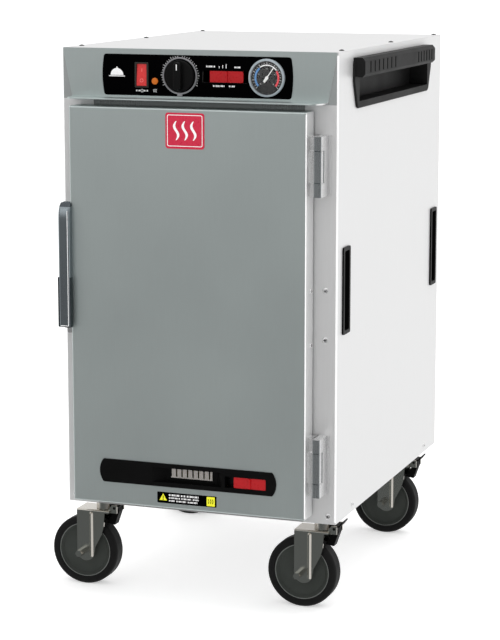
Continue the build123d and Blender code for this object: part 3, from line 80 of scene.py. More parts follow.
# ------------------------------------------------------------------------------ finishes
class NodeSketch:
    """A small helper that adds and links shader nodes in one material."""

    def __init__(self, name: str) -> None:
        """Makes an empty node material.

        Args:
            name: The material's name.
        """
        self.material = bpy.data.materials.new(name)
        self.material.use_nodes = True
        self.tree = self.material.node_tree
        self.tree.nodes.clear()
        self.shader = self.node("BsdfPrincipled")
        self.link(self.shader.outputs["BSDF"], self.node("OutputMaterial").inputs["Surface"])
        self.coordinate = self.node("TexCoord")

    def link(self, source: Socket, target: Socket) -> None:
        """Joins one node's output to another node's input."""
        self.tree.links.new(source, target)

    def node(self, kind: str, **inputs: float) -> bpy.types.Node:
        """Adds a node.

        Args:
            kind: Its type, without the leading "ShaderNode".
            inputs: Values of its inputs, with underscores for spaces.

        Returns:
            The node.
        """
        node = self.tree.nodes.new("ShaderNode" + kind)
        for name, value in inputs.items():
            node.inputs[name.replace("_", " ")].default_value = value
        return node

    def maths(self, operation: str, *values: Socket) -> Socket:
        """Combines two values.

        Args:
            operation: Blender's name of the sum.
            values: The two sockets.

        Returns:
            The result's socket.
        """
        node = self.node("Math")
        node.operation = operation
        for value, target in zip(values, node.inputs):
            self.link(value, target)
        return node.outputs["Value"]

    def stretched(self, scale: Sequence[float]) -> Socket:
        """Object coordinates, scaled along each axis.

        Args:
            scale: Factor on x, y and z, in cycles per metre.

        Returns:
            The vector socket of the mapping node.
        """
        mapping = self.node("Mapping", Scale=tuple(scale))
        self.link(self.coordinate.outputs["Object"], mapping.inputs["Vector"])
        return mapping.outputs["Vector"]

    def noise(self, scale: Sequence[float], detail: float = 3.0, rough: float = 0.55) -> Socket:
        """Fractal noise over the object.

        Args:
            scale: Cycles per metre on x, y and z.
            detail: Number of octaves.
            rough: Weight of the finer octaves.

        Returns:
            The noise value's socket.
        """
        node = self.node("TexNoise", Scale=1.0, Detail=detail, Roughness=rough)
        self.link(self.stretched(scale), node.inputs["Vector"])
        return node.outputs["Fac"]

    def ranged(self, value: Socket, low: float, high: float) -> Socket:
        """Maps a value's middle band to a range.

        Args:
            value: The value socket, of about 0.3 to 0.7.
            low: Result at the band's lower end.
            high: Result at its upper end.

        Returns:
            The mapped value's socket.
        """
        node = self.node("MapRange", From_Min=0.3, From_Max=0.7, To_Min=low, To_Max=high)
        self.link(value, node.inputs["Value"])
        return node.outputs["Result"]

    def tinted(self, value: Socket, dark: Colour, light: Colour) -> Socket:
        """Runs a value through a two-colour ramp.

        Args:
            value: The value socket.
            dark: Linear colour at the low end.
            light: Linear colour at the high end.

        Returns:
            The ramp's colour socket.
        """
        ramp = self.node("ValToRGB")
        stops = zip(ramp.color_ramp.elements, (0.32, 0.68), (dark, light))
        for element, position, colour in stops:
            element.position = position
            element.color = (*colour, 1.0)
        self.link(value, ramp.inputs["Fac"])
        return ramp.outputs["Color"]

    def within(self, output: str, axis: str, low: float, high: float, soft: float) -> Socket:
        """One where a coordinate of the piece lies between two limits, nought outside.

        Args:
            output: "Object" for places, "Normal" for the way a face looks.
            axis: X, Y or Z.
            low: Lower limit.
            high: Upper limit.
            soft: Width of the change at each limit.

        Returns:
            The factor's socket.
        """
        split = self.node("SeparateXYZ")
        self.link(self.coordinate.outputs[output], split.inputs["Vector"])
        sides = []
        for start, stop in ((low, low + soft), (high, high - soft)):
            ramp = self.node("MapRange", From_Min=start, From_Max=stop)
            self.link(split.outputs[axis], ramp.inputs["Value"])
            sides.append(ramp.outputs["Result"])
        return self.maths("MULTIPLY", *sides)

    def covered(self, colour: Colour, *factors: Socket) -> None:
        """Lays a second colour over the base colour where all the factors are one.

        Args:
            colour: The second colour.
            factors: Sockets from nought to one.
        """
        base = self.shader.inputs["Base Color"]
        mix = self.node("Mix")
        mix.data_type = "RGBA"
        self.link(base.links[0].from_socket, mix.inputs["A"])
        mix.inputs["B"].default_value = (*colour, 1.0)
        share = factors[0]
        for factor in factors[1:]:
            share = self.maths("MULTIPLY", share, factor)
        self.link(share, mix.inputs["Factor"])
        self.link(mix.outputs["Result"], base)

    def bumped(self, value: Socket, depth: float) -> None:
        """Presses a height value into the shader's normal.

        Args:
            value: The height's socket.
            depth: Height of the relief, in metres.
        """
        node = self.node("Bump", Strength=1.0, Distance=depth)
        self.link(value, node.inputs["Height"])
        self.link(node.outputs["Normal"], self.shader.inputs["Normal"])

    def set(self, **values: float) -> None:
        """Sets shader sockets by name, with underscores for spaces."""
        for name, value in values.items():
            self.shader.inputs[name.replace("_", " ")].default_value = value


def shaded(colour: Colour, factor: float) -> Colour:
    """A colour, made lighter or darker by a factor."""
    return tuple(min(1.0, channel * factor) for channel in colour)


@dataclass(frozen=True)
class PaintedShadeZone:
    """Part of a sheet given painted shade: a darker tone between two places, on faces turned to the
    front.
    """

    axis: str
    low: float
    high: float
    colour: Colour
    facing: float = -0.3


@dataclass(frozen=True)
class SheetMetal:
    """Brushed or milled sheet: fine grain along one way, faint cloudiness and soft smudges."""

    name: str
    colour: Colour
    roughness: float
    grain: Grain = Grain.UP
    metallic: float = 1.0
    grain_pitch: float = 0.0011
    cloud: float = 0.05
    painted_right_light: Colour | None = None
    painted_shade: PaintedShadeZone | None = None

    def build(self) -> bpy.types.Material:
        """Makes the material, with painted light on right-facing sides and painted shade on part of the
        front.
        """
        sketch = NodeSketch(self.name)
        fine = [way / self.grain_pitch for way in self.grain.value]
        grain = sketch.noise(fine, detail=4.0, rough=0.6)
        clouds = sketch.noise((5.0, 5.0, 4.0), detail=4.0, rough=0.5)
        mix = sketch.node("Mix")
        mix.data_type = "RGBA"
        mix.blend_type = "MULTIPLY"
        mix.inputs["Factor"].default_value = 1.0
        streaks = sketch.tinted(grain, shaded(self.colour, 0.985), shaded(self.colour, 1.015))
        sketch.link(streaks, mix.inputs["A"])
        dull = (1 - self.cloud, 1 - self.cloud, 1 - self.cloud * 0.9)
        sketch.link(sketch.tinted(clouds, dull, WHITE), mix.inputs["B"])
        sketch.link(mix.outputs["Result"], sketch.shader.inputs["Base Color"])
        rough = sketch.maths(
            "ADD",
            sketch.ranged(grain, self.roughness - 0.03, self.roughness + 0.03),
            sketch.ranged(clouds, -0.025, 0.035),
        )
        sketch.link(rough, sketch.shader.inputs["Roughness"])
        sketch.bumped(grain, 0.000001)
        sketch.set(Metallic=self.metallic)
        # Painted light: right-facing faces take a lighter tone where the sides catch the light.
        if self.painted_right_light:
            sketch.covered(self.painted_right_light, sketch.within("Normal", "X", 0.5, 2.0, 0.2))
        # Painted shade: front-facing faces between the two limits take a darker tone.
        if self.painted_shade:
            sketch.covered(
                self.painted_shade.colour,
                sketch.within("Object", self.painted_shade.axis, self.painted_shade.low, self.painted_shade.high, 0.0003),
                sketch.within("Normal", "Y", -2.0, self.painted_shade.facing, 0.1),
            )
        return sketch.material


@dataclass(frozen=True)
class Moulding:
    """Moulded plastic: an even spark-eroded texture with slight gloss variation."""

    name: str
    colour: Colour
    roughness: float
    texture_pitch: float = 0.0008
    texture_depth: float = 0.00002
    specular: float = 0.2

    def build(self) -> bpy.types.Material:
        """Makes the material."""
        sketch = NodeSketch(self.name)
        pitch = 1.0 / self.texture_pitch
        pebble = sketch.noise((pitch, pitch, pitch), detail=2.0)
        smear = sketch.noise((14.0, 14.0, 14.0), detail=4.0)
        sketch.link(
            sketch.tinted(smear, shaded(self.colour, 0.9), shaded(self.colour, 1.12)),
            sketch.shader.inputs["Base Color"],
        )
        sketch.link(
            sketch.ranged(smear, self.roughness - 0.05, self.roughness + 0.06),
            sketch.shader.inputs["Roughness"],
        )
        sketch.bumped(pebble, self.texture_depth)
        sketch.set(Specular_IOR_Level=self.specular)
        return sketch.material


@dataclass(frozen=True)
class Rubber:
    """Dull rubber or polyurethane with faint scuffs."""

    name: str
    colour: Colour

    def build(self) -> bpy.types.Material:
        """Makes the material."""
        sketch = NodeSketch(self.name)
        scuffs = sketch.noise((60.0, 60.0, 60.0), detail=6.0, rough=0.7)
        pores = sketch.noise((1400.0, 1400.0, 1400.0), detail=2.0)
        ramp = sketch.tinted(scuffs, self.colour, shaded(self.colour, 1.5))
        sketch.link(ramp, sketch.shader.inputs["Base Color"])
        sketch.link(sketch.ranged(scuffs, 0.5, 0.72), sketch.shader.inputs["Roughness"])
        sketch.bumped(pores, 0.00003)
        sketch.set(Specular_IOR_Level=0.15)
        return sketch.material


@dataclass(frozen=True)
class Enamel:
    """Printed ink or film: nearly flat colour with a soft sheen and faint mottling."""

    name: str
    colour: Colour
    roughness: float = 0.3
    glow: float = 0.0
    specular: float = 0.3
    painted_shade_depth: float | None = None

    def build(self) -> bpy.types.Material:
        """Makes the material, blackened from a given depth on as painted shade, with an optional glow
        that is painted light on the pointer, the prints and the edge highlights.
        """
        sketch = NodeSketch(self.name)
        mottle = sketch.noise((320.0, 320.0, 320.0), detail=3.0)
        sketch.link(
            sketch.tinted(mottle, shaded(self.colour, 0.94), shaded(self.colour, 1.05)),
            sketch.shader.inputs["Base Color"],
        )
        sketch.link(
            sketch.ranged(mottle, self.roughness - 0.04, self.roughness + 0.04),
            sketch.shader.inputs["Roughness"],
        )
        sketch.bumped(mottle, 0.000004)
        sketch.set(Specular_IOR_Level=self.specular)
        # Painted shade: the piece is blackened from the given depth on, where it lies deep in the vent.
        if self.painted_shade_depth is not None:
            sketch.covered(
                (0.002, 0.002, 0.002), sketch.within("Object", "Y", self.painted_shade_depth, 1.0, 0.0005)
            )
        if self.glow > 0.0:
            sketch.shader.inputs["Emission Color"].default_value = (*self.colour, 1.0)
            sketch.set(Emission_Strength=self.glow)
        return sketch.material


@dataclass(frozen=True)
class ClearCover:
    """Clear cover of a dial."""

    name: str

    def build(self) -> bpy.types.Material:
        """Makes the material."""
        sketch = NodeSketch(self.name)
        haze = sketch.noise((90.0, 90.0, 90.0), detail=3.0)
        sketch.link(sketch.ranged(haze, 0.02, 0.06), sketch.shader.inputs["Roughness"])
        sketch.shader.inputs["Base Color"].default_value = (1.0, 1.0, 1.0, 1.0)
        sketch.set(Alpha=0.03, IOR=1.2, Specular_IOR_Level=0.05)
        return sketch.material


@dataclass(frozen=True)
class Wool:
    """Glass wool seen only where the casing is opened."""

    name: str
    colour: Colour

    def build(self) -> bpy.types.Material:
        """Makes the material."""
        sketch = NodeSketch(self.name)
        fibres = sketch.noise((700.0, 700.0, 260.0), detail=5.0, rough=0.7)
        sketch.link(
            sketch.tinted(fibres, shaded(self.colour, 0.6), shaded(self.colour, 1.15)),
            sketch.shader.inputs["Base Color"],
        )
        sketch.bumped(fibres, 0.0006)
        sketch.set(Roughness=0.95)
        return sketch.material


HINGE_AXIS_X = (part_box("hinge_pins")[0].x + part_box("hinge_pins")[1].x) / 2
FINISHES = {
    finish.name: finish
    for finish in (
        # Painted shade: front-facing faces from just below the fascia's foot up are darkened.
        SheetMetal(
            "casing_aluminium", (0.775, 0.775, 0.775), 0.40, Grain.UP, metallic=0.5, cloud=0.015,
            painted_shade=PaintedShadeZone("Z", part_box("control_fascia")[0].z - 0.002, 1.0, (0.40, 0.42, 0.42), -0.6),
        ),
        SheetMetal("top_aluminium", (0.74, 0.74, 0.74), 0.42, Grain.ACROSS, metallic=0.5, cloud=0.015),
        # Painted light: right-facing faces of the door and fascia are made near-white.
        SheetMetal(
            "door_aluminium", (0.60, 0.665, 0.655), 0.42, Grain.UP, metallic=0.85, cloud=0.025,
            painted_right_light=(0.97, 0.97, 0.97),
        ),
        # Painted shade: front-facing faces of the frame above the door's top, in the recess under the
        # fascia, are darkened.
        SheetMetal(
            "frame_aluminium", (0.74, 0.74, 0.74), 0.3, Grain.UP, metallic=0.9, cloud=0.03,
            painted_shade=PaintedShadeZone("Z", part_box("door_skin")[1].z - 0.012, 1.0, (0.20, 0.21, 0.21)),
        ),
        SheetMetal("liner_aluminium", (0.72, 0.73, 0.73), 0.35, Grain.UP, cloud=0.05),
        SheetMetal("rack_steel", (0.68, 0.68, 0.69), 0.22, Grain.DEEP),
        SheetMetal("ring_silver", (0.5, 0.5, 0.52), 0.3, Grain.EVEN),
        SheetMetal("gauge_rim", (0.50, 0.56, 0.6), 0.4, Grain.EVEN, metallic=0.4),
        SheetMetal("screw_steel", (0.84, 0.84, 0.84), 0.26, Grain.EVEN, metallic=0.9),
        # Painted shade for the crosses on the screw heads; the heads of the screws in the top also use
        # this dark finish.
        SheetMetal("screw_dark", (0.022, 0.022, 0.022), 0.4, Grain.EVEN, metallic=0.2),
        # Painted shade: front-facing faces across the hinge barrels are darkened.
        SheetMetal(
            "hinge_steel", (0.90, 0.90, 0.90), 0.28, Grain.UP, metallic=0.8,
            painted_shade=PaintedShadeZone("X", HINGE_AXIS_X - 0.0075, HINGE_AXIS_X + 0.0072, (0.31, 0.33, 0.34)),
        ),
        # Painted shade: the top of the lever is darkened.
        SheetMetal(
            "latch_steel", (0.31, 0.35, 0.375), 0.26, Grain.UP,
            painted_shade=PaintedShadeZone("Z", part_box("latch_lever")[1].z - 0.0075, 1.0, (0.09, 0.10, 0.11), 2.0),
        ),
        SheetMetal("latch_case", (0.08, 0.10, 0.11), 0.3, Grain.UP),
        SheetMetal("strike_steel", (0.86, 0.87, 0.88), 0.2, Grain.UP),
        # Painted shade: front-facing faces of the casters' metal are darkened.
        SheetMetal(
            "caster_zinc", (0.60, 0.57, 0.52), 0.2, Grain.UP,
            painted_shade=PaintedShadeZone("Z", 0.0, 0.2, (0.35, 0.37, 0.345), -0.9),
        ),
        SheetMetal("louvre_metal", (0.50, 0.47, 0.44), 0.3, Grain.UP, metallic=0.3),
        SheetMetal("thermostat_metal", (0.5, 0.5, 0.48), 0.45, Grain.EVEN),
        Moulding("handle_black", (0.016, 0.016, 0.016), 0.45, specular=0.05),
        Moulding("bezel_black", (0.004, 0.004, 0.004), 0.4, specular=0.07),
        Moulding("switch_black", (0.03, 0.028, 0.024), 0.35, specular=0.3),
        Moulding("knob_black", (0.005, 0.005, 0.005), 0.36, specular=0.11),
        Moulding("hub_grey", (0.044, 0.049, 0.044), 0.5, specular=0.12),
        Moulding("hub_pale", (0.19, 0.2, 0.19), 0.45, specular=0.2),
        Moulding("brake_black", (0.003, 0.003, 0.003), 0.5, specular=0.08),
        Rubber("gasket_rubber", (0.012, 0.012, 0.012)),
        Rubber("tyre_black", (0.007, 0.007, 0.007)),
        Enamel("overlay_black", (0.0004, 0.0004, 0.0006), 0.25, specular=0.02),
        Enamel("rocker_red", (0.62, 0.035, 0.035), 0.3, glow=0.12),
        Enamel("lamp_amber", (0.62, 0.15, 0.01), 0.3, glow=0.1),
        Enamel("slider_red", (0.46, 0.006, 0.010), 0.3),
        # Painted shade: the slider is blackened from a depth inside the vent window on.
        Enamel(
            "vent_tab_red", (0.46, 0.006, 0.010), 0.3,
            painted_shade_depth=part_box("vent_slider")[0].y + 0.0055,
        ),
        # Painted light: the pointer glows though it is no lamp.
        Enamel("needle_white", (0.8, 0.8, 0.78), 0.4, glow=0.15),
        # Painted highlight: near-white glowing strips stand in for light caught on rounded edges.
        Enamel("painted_edge_highlight", (0.88, 0.88, 0.88), 0.3, glow=0.22),
        # Painted light: the printed inks below glow though they are no lamps.
        Enamel("print_white", (0.84, 0.84, 0.84), 0.5, glow=0.15),
        Enamel("print_pink", (0.85, 0.22, 0.2), 0.5, glow=0.1),
        Enamel("print_red", (0.75, 0.03, 0.05), 0.35, glow=0.1),
        Enamel("print_blue", (0.06, 0.22, 0.5), 0.4, glow=0.1),
        Enamel("print_yellow", (0.85, 0.83, 0.02), 0.45, glow=0.1),
        Enamel("badge_red", (0.60, 0.022, 0.06), 0.3),
        Enamel("heater_cable", (0.3, 0.06, 0.03), 0.6),
        Wool("insulation_wool", (0.75, 0.62, 0.2)),
        ClearCover("gauge_glass"),
    )
}
MADE: dict[str, bpy.types.Material] = {}


def finish(name: str) -> bpy.types.Material:
    """The material of a named finish, made the first time it is asked for."""
    if name not in MADE:
        MADE[name] = FINISHES[name].build()
    return MADE[name]


def dress(node: str, name: str) -> None:
    """Gives a CAD node a finish.

    Args:
        node: The node's name.
        name: The finish's name.
    """
    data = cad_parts[node].data
    data.materials.clear()
    data.materials.append(finish(name))


# ------------------------------------------------------------------------------ mesh work
def placed(facing: Facing, at: float) -> Place:
    """Maps a flat drawing onto a side of the cabinet.

    Args:
        facing: The side that the drawing looks towards.
        at: Where its plane stands along that side's normal, in metres.

    Returns:
        A function of a point (across, up) and a height above the plane, giving a place.
    """

    def map_point(point: Point, height: float) -> Vector:
        """Places one drawn point."""
        across, up = point
        if facing is Facing.FRONT:
            return Vector((across, at - height, up))
        if facing is Facing.BACK:
            return Vector((-across, at + height, up))
        if facing is Facing.RIGHT:
            return Vector((at + height, across, up))
        return Vector((across, up, at + height))

    return map_point


def add_object(
    name: str, mesh: bmesh.types.BMesh, body: str, slot: str, look: str, smooth: bool = False
) -> bpy.types.Object:
    """Turns a bmesh into a piece that rides on a body.

    Args:
        name: The piece's name.
        mesh: Its geometry, which is freed.
        body: The CAD body that it rides on.
        slot: The record's material slot; not used.
        look: The finish.
        smooth: Whether its faces are shaded smooth.

    Returns:
        The new object.
    """
    bmesh.ops.recalc_face_normals(mesh, faces=mesh.faces)
    data = bpy.data.meshes.new(name)
    mesh.to_mesh(data)
    mesh.free()
    piece = bpy.data.objects.new(name, data)
    bpy.context.scene.collection.objects.link(piece)
    data.materials.append(finish(look))
    for polygon in data.polygons:
        polygon.use_smooth = smooth
    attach(piece, body)
    LOG.info("piece %s: %d faces on %s", name, len(data.polygons), body)
    return piece


def soften(piece: bpy.types.Object, width: float, segments: int = 2, angle: float = 35.0) -> None:
    """Rounds a piece's sharp edges and shades it smooth.

    Args:
        piece: The object.
        width: Bevel width, in metres.
        segments: Number of steps across the bevel.
        angle: Edges sharper than this are rounded, in degrees.
    """
    bevel = piece.modifiers.new("edge", "BEVEL")
    bevel.width = width
    bevel.segments = segments
    bevel.limit_method = "ANGLE"
    bevel.angle_limit = math.radians(angle)
    bevel.harden_normals = False
    for polygon in piece.data.polygons:
        polygon.use_smooth = True
    weighted = piece.modifiers.new("normals", "WEIGHTED_NORMAL")
    weighted.keep_sharp = True


def raise_outline(
    mesh: bmesh.types.BMesh, outline: Sequence[Point], place: Place, height: float
) -> None:
    """Adds a flat-topped solid with the given outline.

    Args:
        mesh: The bmesh to add to.
        outline: The corners, in order.
        place: The drawing's mapping.
        height: How far it stands up, in metres.
    """
    low = [mesh.verts.new(place(point, 0.0)) for point in outline]
    high = [mesh.verts.new(place(point, height)) for point in outline]
    mesh.faces.new(high)
    mesh.faces.new(low[::-1])
    for index in range(len(outline)):
        after = (index + 1) % len(outline)
        mesh.faces.new((low[index], low[after], high[after], high[index]))


def rounded_box(centre: Point, size: Point, radius: float, steps: int = 6) -> list[Point]:
    """Outline of a rectangle with round corners.

    Args:
        centre: Its middle.
        size: Width and height.
        radius: Corner radius.
        steps: Points on each corner.

    Returns:
        The outline's points, anticlockwise.
    """
    half_w, half_h = size[0] / 2 - radius, size[1] / 2 - radius
    points = []
    for turn, (side, end) in enumerate(((1, 1), (-1, 1), (-1, -1), (1, -1))):
        for step in range(steps + 1):
            angle = math.radians(90 * turn + 90 * step / steps)
            points.append(
                (
                    centre[0] + side * half_w + radius * math.cos(angle),
                    centre[1] + end * half_h + radius * math.sin(angle),
                )
            )
    return points


def disc(centre: Point, radius: float, steps: int = 48) -> list[Point]:
    """Outline of a circle."""
    return [
        (
            centre[0] + radius * math.cos(2 * math.pi * step / steps),
            centre[1] + radius * math.sin(2 * math.pi * step / steps),
        )
        for step in range(steps)
    ]


def bar(start: Point, end: Point, width: float) -> list[Point]:
    """Outline of a straight bar between two points."""
    along = Vector((end[0] - start[0], end[1] - start[1])).normalized()
    side = Vector((-along.y, along.x)) * width / 2
    corners = ((start, 1), (start, -1), (end, -1), (end, 1))
    return [(point[0] + sign * side.x, point[1] + sign * side.y) for point, sign in corners]


def polar(centre: Point, radius: float, clock: float) -> Point:
    """A point at a radius and a clock angle, in degrees clockwise from straight up."""
    angle = math.radians(clock)
    return centre[0] + radius * math.sin(angle), centre[1] + radius * math.cos(angle)


def raise_band(
    mesh: bmesh.types.BMesh,
    inner: Sequence[Point],
    outer: Sequence[Point],
    place: Place,
    height: float,
    closed: bool,
) -> None:
    """Adds a raised band between two outlines with as many points as each other.

    Args:
        mesh: The bmesh to add to.
        inner: One edge's points.
        outer: The other edge's points.
        place: The drawing's mapping.
        height: How far it stands up, in metres.
        closed: Whether the band runs all the way round.
    """
    rows = [
        [mesh.verts.new(place(point, lift)) for point in edge]
        for edge, lift in ((inner, 0.0), (inner, height), (outer, height), (outer, 0.0))
    ]
    count = len(inner)
    for index in range(count if closed else count - 1):
        after = (index + 1) % count
        for row in range(4):
            here, there = rows[row], rows[(row + 1) % 4]
            mesh.faces.new((here[index], here[after], there[after], there[index]))
    if not closed:
        for end in (0, count - 1):
            mesh.faces.new([row[end] for row in rows])


def arc_band(
    mesh: bmesh.types.BMesh,
    centre: Point,
    radii: Point,
    clock: Point,
    place: Place,
    height: float,
) -> None:
    """Adds a raised arc.

    Args:
        mesh: The bmesh to add to.
        centre: The arc's centre.
        radii: Inner and outer radius.
        clock: Where it starts and ends, in degrees clockwise from straight up.
        place: The drawing's mapping.
        height: How far it stands up, in metres.
    """
    steps = max(6, int(abs(clock[1] - clock[0]) / 4))
    angles = [clock[0] + (clock[1] - clock[0]) * step / steps for step in range(steps + 1)]
    inner = [polar(centre, radii[0], angle) for angle in angles]
    outer = [polar(centre, radii[1], angle) for angle in angles]
    raise_band(mesh, inner, outer, place, height, closed=False)


def print_marks(
    name: str,
    outlines: Iterable[Sequence[Point]],
    place: Place,
    body: str = "cabinet",
    slot: str = "needle_white",
    look: str = "print_white",
    height: float = INK,
) -> bpy.types.Object:
    """Prints flat marks on a surface as one piece.

    Args:
        name: The piece's name.
        outlines: Each mark's outline.
        place: The drawing's mapping.
        body: The body that carries it.
        slot: The record's material slot.
        look: The ink's finish.
        height: Thickness of the ink, in metres.

    Returns:
        The new object.
    """
    mesh = bmesh.new()
    for outline in outlines:
        raise_outline(mesh, outline, place, height)
    return add_object(name, mesh, body, slot, look)


def word(centre: Point, letters: int, size: Point = (0.0021, 0.0027)) -> list[list[Point]]:
    """A row of plain blocks that stands for a printed word, with no letters in it.

    Args:
        centre: Middle of the row.
        letters: Number of blocks.
        size: Width and height of a block; every third one is narrow.

    Returns:
        The blocks' outlines.
    """
    gap = size[0] * 0.3
    pitch = size[0] + gap
    start = centre[0] - pitch * (letters - 1) / 2
    blocks = []
    for index in range(letters):
        wide = size[0] * (0.45 if index % 3 == 1 else 1.0)
        x = start + index * pitch
        blocks.append(bar((x, centre[1] - size[1] / 2), (x, centre[1] + size[1] / 2), wide))
    return blocks


def unit(axis: int) -> Vector:
    """Unit vector along one of the row's axes."""
    return Vector([1.0 if index == axis else 0.0 for index in range(3)])


def middle(node: str) -> Vector:
    """Centre of a CAD node's box."""
    low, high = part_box(node)
    return (low + high) / 2


def front_middle(node: str) -> Point:
    """Centre of a CAD node's box, seen from the front."""
    centre = middle(node)
    return centre.x, centre.z


def rectangle(left: float, foot: float, right: float, head: float) -> list[Point]:
    """Outline of a plain rectangle."""
    return [(left, foot), (right, foot), (right, head), (left, head)]


# ------------------------------------------------------------------------------ sub-assemblies
@dataclass
class Casing:
    """Outer sheets, frame, warm compartment and their screws."""

    finishes: dict[str, str] = field(
        default_factory=lambda: {
            "side_panel_left": "casing_aluminium",
            "side_panel_right": "casing_aluminium",
            "back_panel": "casing_aluminium",
            "top_panel": "top_aluminium",
            "base_pan": "frame_aluminium",
            "front_frame": "frame_aluminium",
            "liner": "liner_aluminium",
            "insulation": "insulation_wool",
            "heater_element": "heater_cable",
            "slide_racks": "rack_steel",
            "cabinet_screws": "screw_steel",
            "power_inlet": "bezel_black",
            "side_handles": "handle_black",
            "side_slot_bezels": "bezel_black",
        }
    )

    def build(self) -> None:
        """Dresses the casing's nodes."""
        for node, name in self.finishes.items():
            dress(node, name)
        LOG.info("casing: %d nodes dressed", len(self.finishes))


@dataclass
class ControlFascia:
    """Fascia over the door with its controls and printed marks."""

    tick_count: int = 33
    tick_sweep: float = 118.0
    tick_length: float = 0.0034
    tick_width: float = 0.0006
    tick_gap: float = 0.0006
    edge_gap: float = 0.0003
    groove_depth: float = 0.0006
    emblem_inset: float = 0.027
    emblem_radius: float = 0.0118

    def build(self) -> None:
        """Dresses the controls and prints their marks."""
        for node, name in {
            "control_fascia": "door_aluminium",
            "control_overlay": "overlay_black",
            "switch_housing": "switch_black",
            "switch_rocker": "rocker_red",
            "indicator_lamp": "lamp_amber",
            "thermostat_ring": "ring_silver",
            "thermostat_body": "thermostat_metal",
            "thermostat_knob": "knob_black",
            "humidity_slider": "slider_red",
            "thermometer_case": "gauge_rim",
            "thermometer_lens": "gauge_glass",
            "thermometer_pointer": "needle_white",
        }.items():
            dress(node, name)
        self.place = placed(Facing.FRONT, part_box("control_overlay")[0].y)
        self.print_knob_scale()
        self.print_slider_scale()
        self.print_symbols()
        self.print_emblem()
        self.mark_rocker()
        self.mark_knob()

    def print_knob_scale(self) -> None:
        """Prints the short strokes round the thermostat."""
        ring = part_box("thermostat_ring")
        centre = front_middle("thermostat_knob")
        start_radius = (ring[1].x - ring[0].x) / 2 + self.tick_gap
        strokes = []
        for tick in range(self.tick_count):
            clock = self.tick_sweep * (2 * tick / (self.tick_count - 1) - 1)
            start = polar(centre, start_radius, clock)
            reach = self.tick_length * (1.0 if tick % 4 == 0 else 0.6)
            end = polar(centre, start_radius + reach, clock)
            if end[1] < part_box("control_overlay")[1].z - self.edge_gap:
                strokes.append(bar(start, end, self.tick_width))
        print_marks("thermostat_scale", strokes, self.place)

    def print_slider_scale(self) -> None:
        """Prints the three rising strokes and two rows of blocks over the humidity slider."""
        centre_x = middle("humidity_slider").x
        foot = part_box("humidity_slider")[1].z + 0.0008
        strokes = []
        for index in range(3):
            x = centre_x - 0.013 + index * 0.0062
            strokes.append(bar((x, foot), (x, foot + 0.0035 + 0.0018 * index), 0.001))
        strokes += word((centre_x - 0.0285, foot + 0.0026), 6)
        strokes += word((centre_x + 0.0195, foot + 0.0020), 4)
        print_marks("humidity_scale", strokes, self.place)

    def print_symbols(self) -> None:
        """Prints a power sign, a heat sign and rows of plain blocks below the controls."""
        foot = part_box("switch_housing")[0].z - 0.0052
        centre = (middle("switch_housing").x, foot)
        mesh = bmesh.new()
        arc_band(mesh, centre, (0.0020, 0.0028), (35.0, 325.0), self.place, INK)
        marks = [bar(centre, (centre[0], foot + 0.0032), 0.0008)]
        lamp, step = middle("indicator_lamp"), 0.0028
        for wave in (-1, 0, 1):
            x = lamp.x + wave * 0.0022
            for part, lean in enumerate((-0.0007, 0.0007)):
                base = lamp.z - 0.019 + part * step
                marks.append(bar((x - lean, base), (x + lean, base + step), 0.0007))
        for side in (-1, 1):
            marks += word((centre[0] + side * 0.0072, foot), 3)
        label_x = middle("humidity_slider").x - 0.004
        label_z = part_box("humidity_slider")[0].z - 0.0022
        for start, letters in ((-0.0095, 8), (0.0135, 4)):
            marks += word((label_x + start, label_z), letters)
        for mark in marks:
            raise_outline(mesh, mark, self.place, INK)
        add_object("control_symbols", mesh, "cabinet", "needle_white", "print_white")

    def print_emblem(self) -> None:
        """Prints a plain covered dish near the overlay's left end."""
        low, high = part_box("control_overlay")
        centre = (low.x + self.emblem_inset, (low.z + high.z) / 2 - 0.001)
        dome = [polar(centre, self.emblem_radius, clock) for clock in range(-90, 91, 9)]
        knob = disc((centre[0], centre[1] + self.emblem_radius + 0.0012), 0.0012, 16)
        reach = self.emblem_radius * 1.25
        foot = centre[1] - 0.0016
        tray = bar((centre[0] - reach, foot), (centre[0] + reach, foot), 0.0014)
        print_marks("dish_emblem", [dome, knob, tray], self.place)

    def mark_rocker(self) -> None:
        """Prints the on and off marks on the rocker's two flats."""
        low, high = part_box("switch_rocker")
        centre_x, centre_z = front_middle("switch_rocker")
        half = (high.z - low.z) / 2

        def surface(point: Point, height: float) -> Vector:
            """Lays a point on the rocker's bent front."""
            middle_y, end_y = self.rocker_line(centre_z, low, high, point[1] >= centre_z)
            share = abs(point[1] - centre_z) / half
            depth = middle_y + (end_y - middle_y) * share - height - 0.00005
            return Vector((point[0], depth, point[1]))

        on = [bar((centre_x, centre_z + 0.3 * half), (centre_x, centre_z + 0.6 * half), 0.0009)]
        print_marks("rocker_on_mark", on, surface, "switch_rocker", look="print_pink")
        mesh = bmesh.new()
        ring = (centre_x, centre_z - 0.5 * half)
        arc_band(mesh, ring, (0.0024, 0.0032), (0.0, 357.0), surface, INK)
        add_object("rocker_off_mark", mesh, "switch_rocker", "needle_white", "print_pink")

    @staticmethod
    def rocker_line(centre_z: float, low: Vector, high: Vector, upper: bool) -> Point:
        """Front depth of the rocker at its middle and at one end.

        Args:
            centre_z: Height of its bend.
            low: The box's lowest corner.
            high: The box's highest corner.
            upper: Whether the upper end is asked for.

        Returns:
            Depth at the bend and at the end.
        """
        end_z = high.z if upper else low.z
        front = [vertex.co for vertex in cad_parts["switch_rocker"].data.vertices]
        bend = min((co.y for co in front if abs(co.z - centre_z) < 0.001), default=low.y)
        end = min((co.y for co in front if abs(co.z - end_z) < 0.0012), default=low.y)
        return bend, end

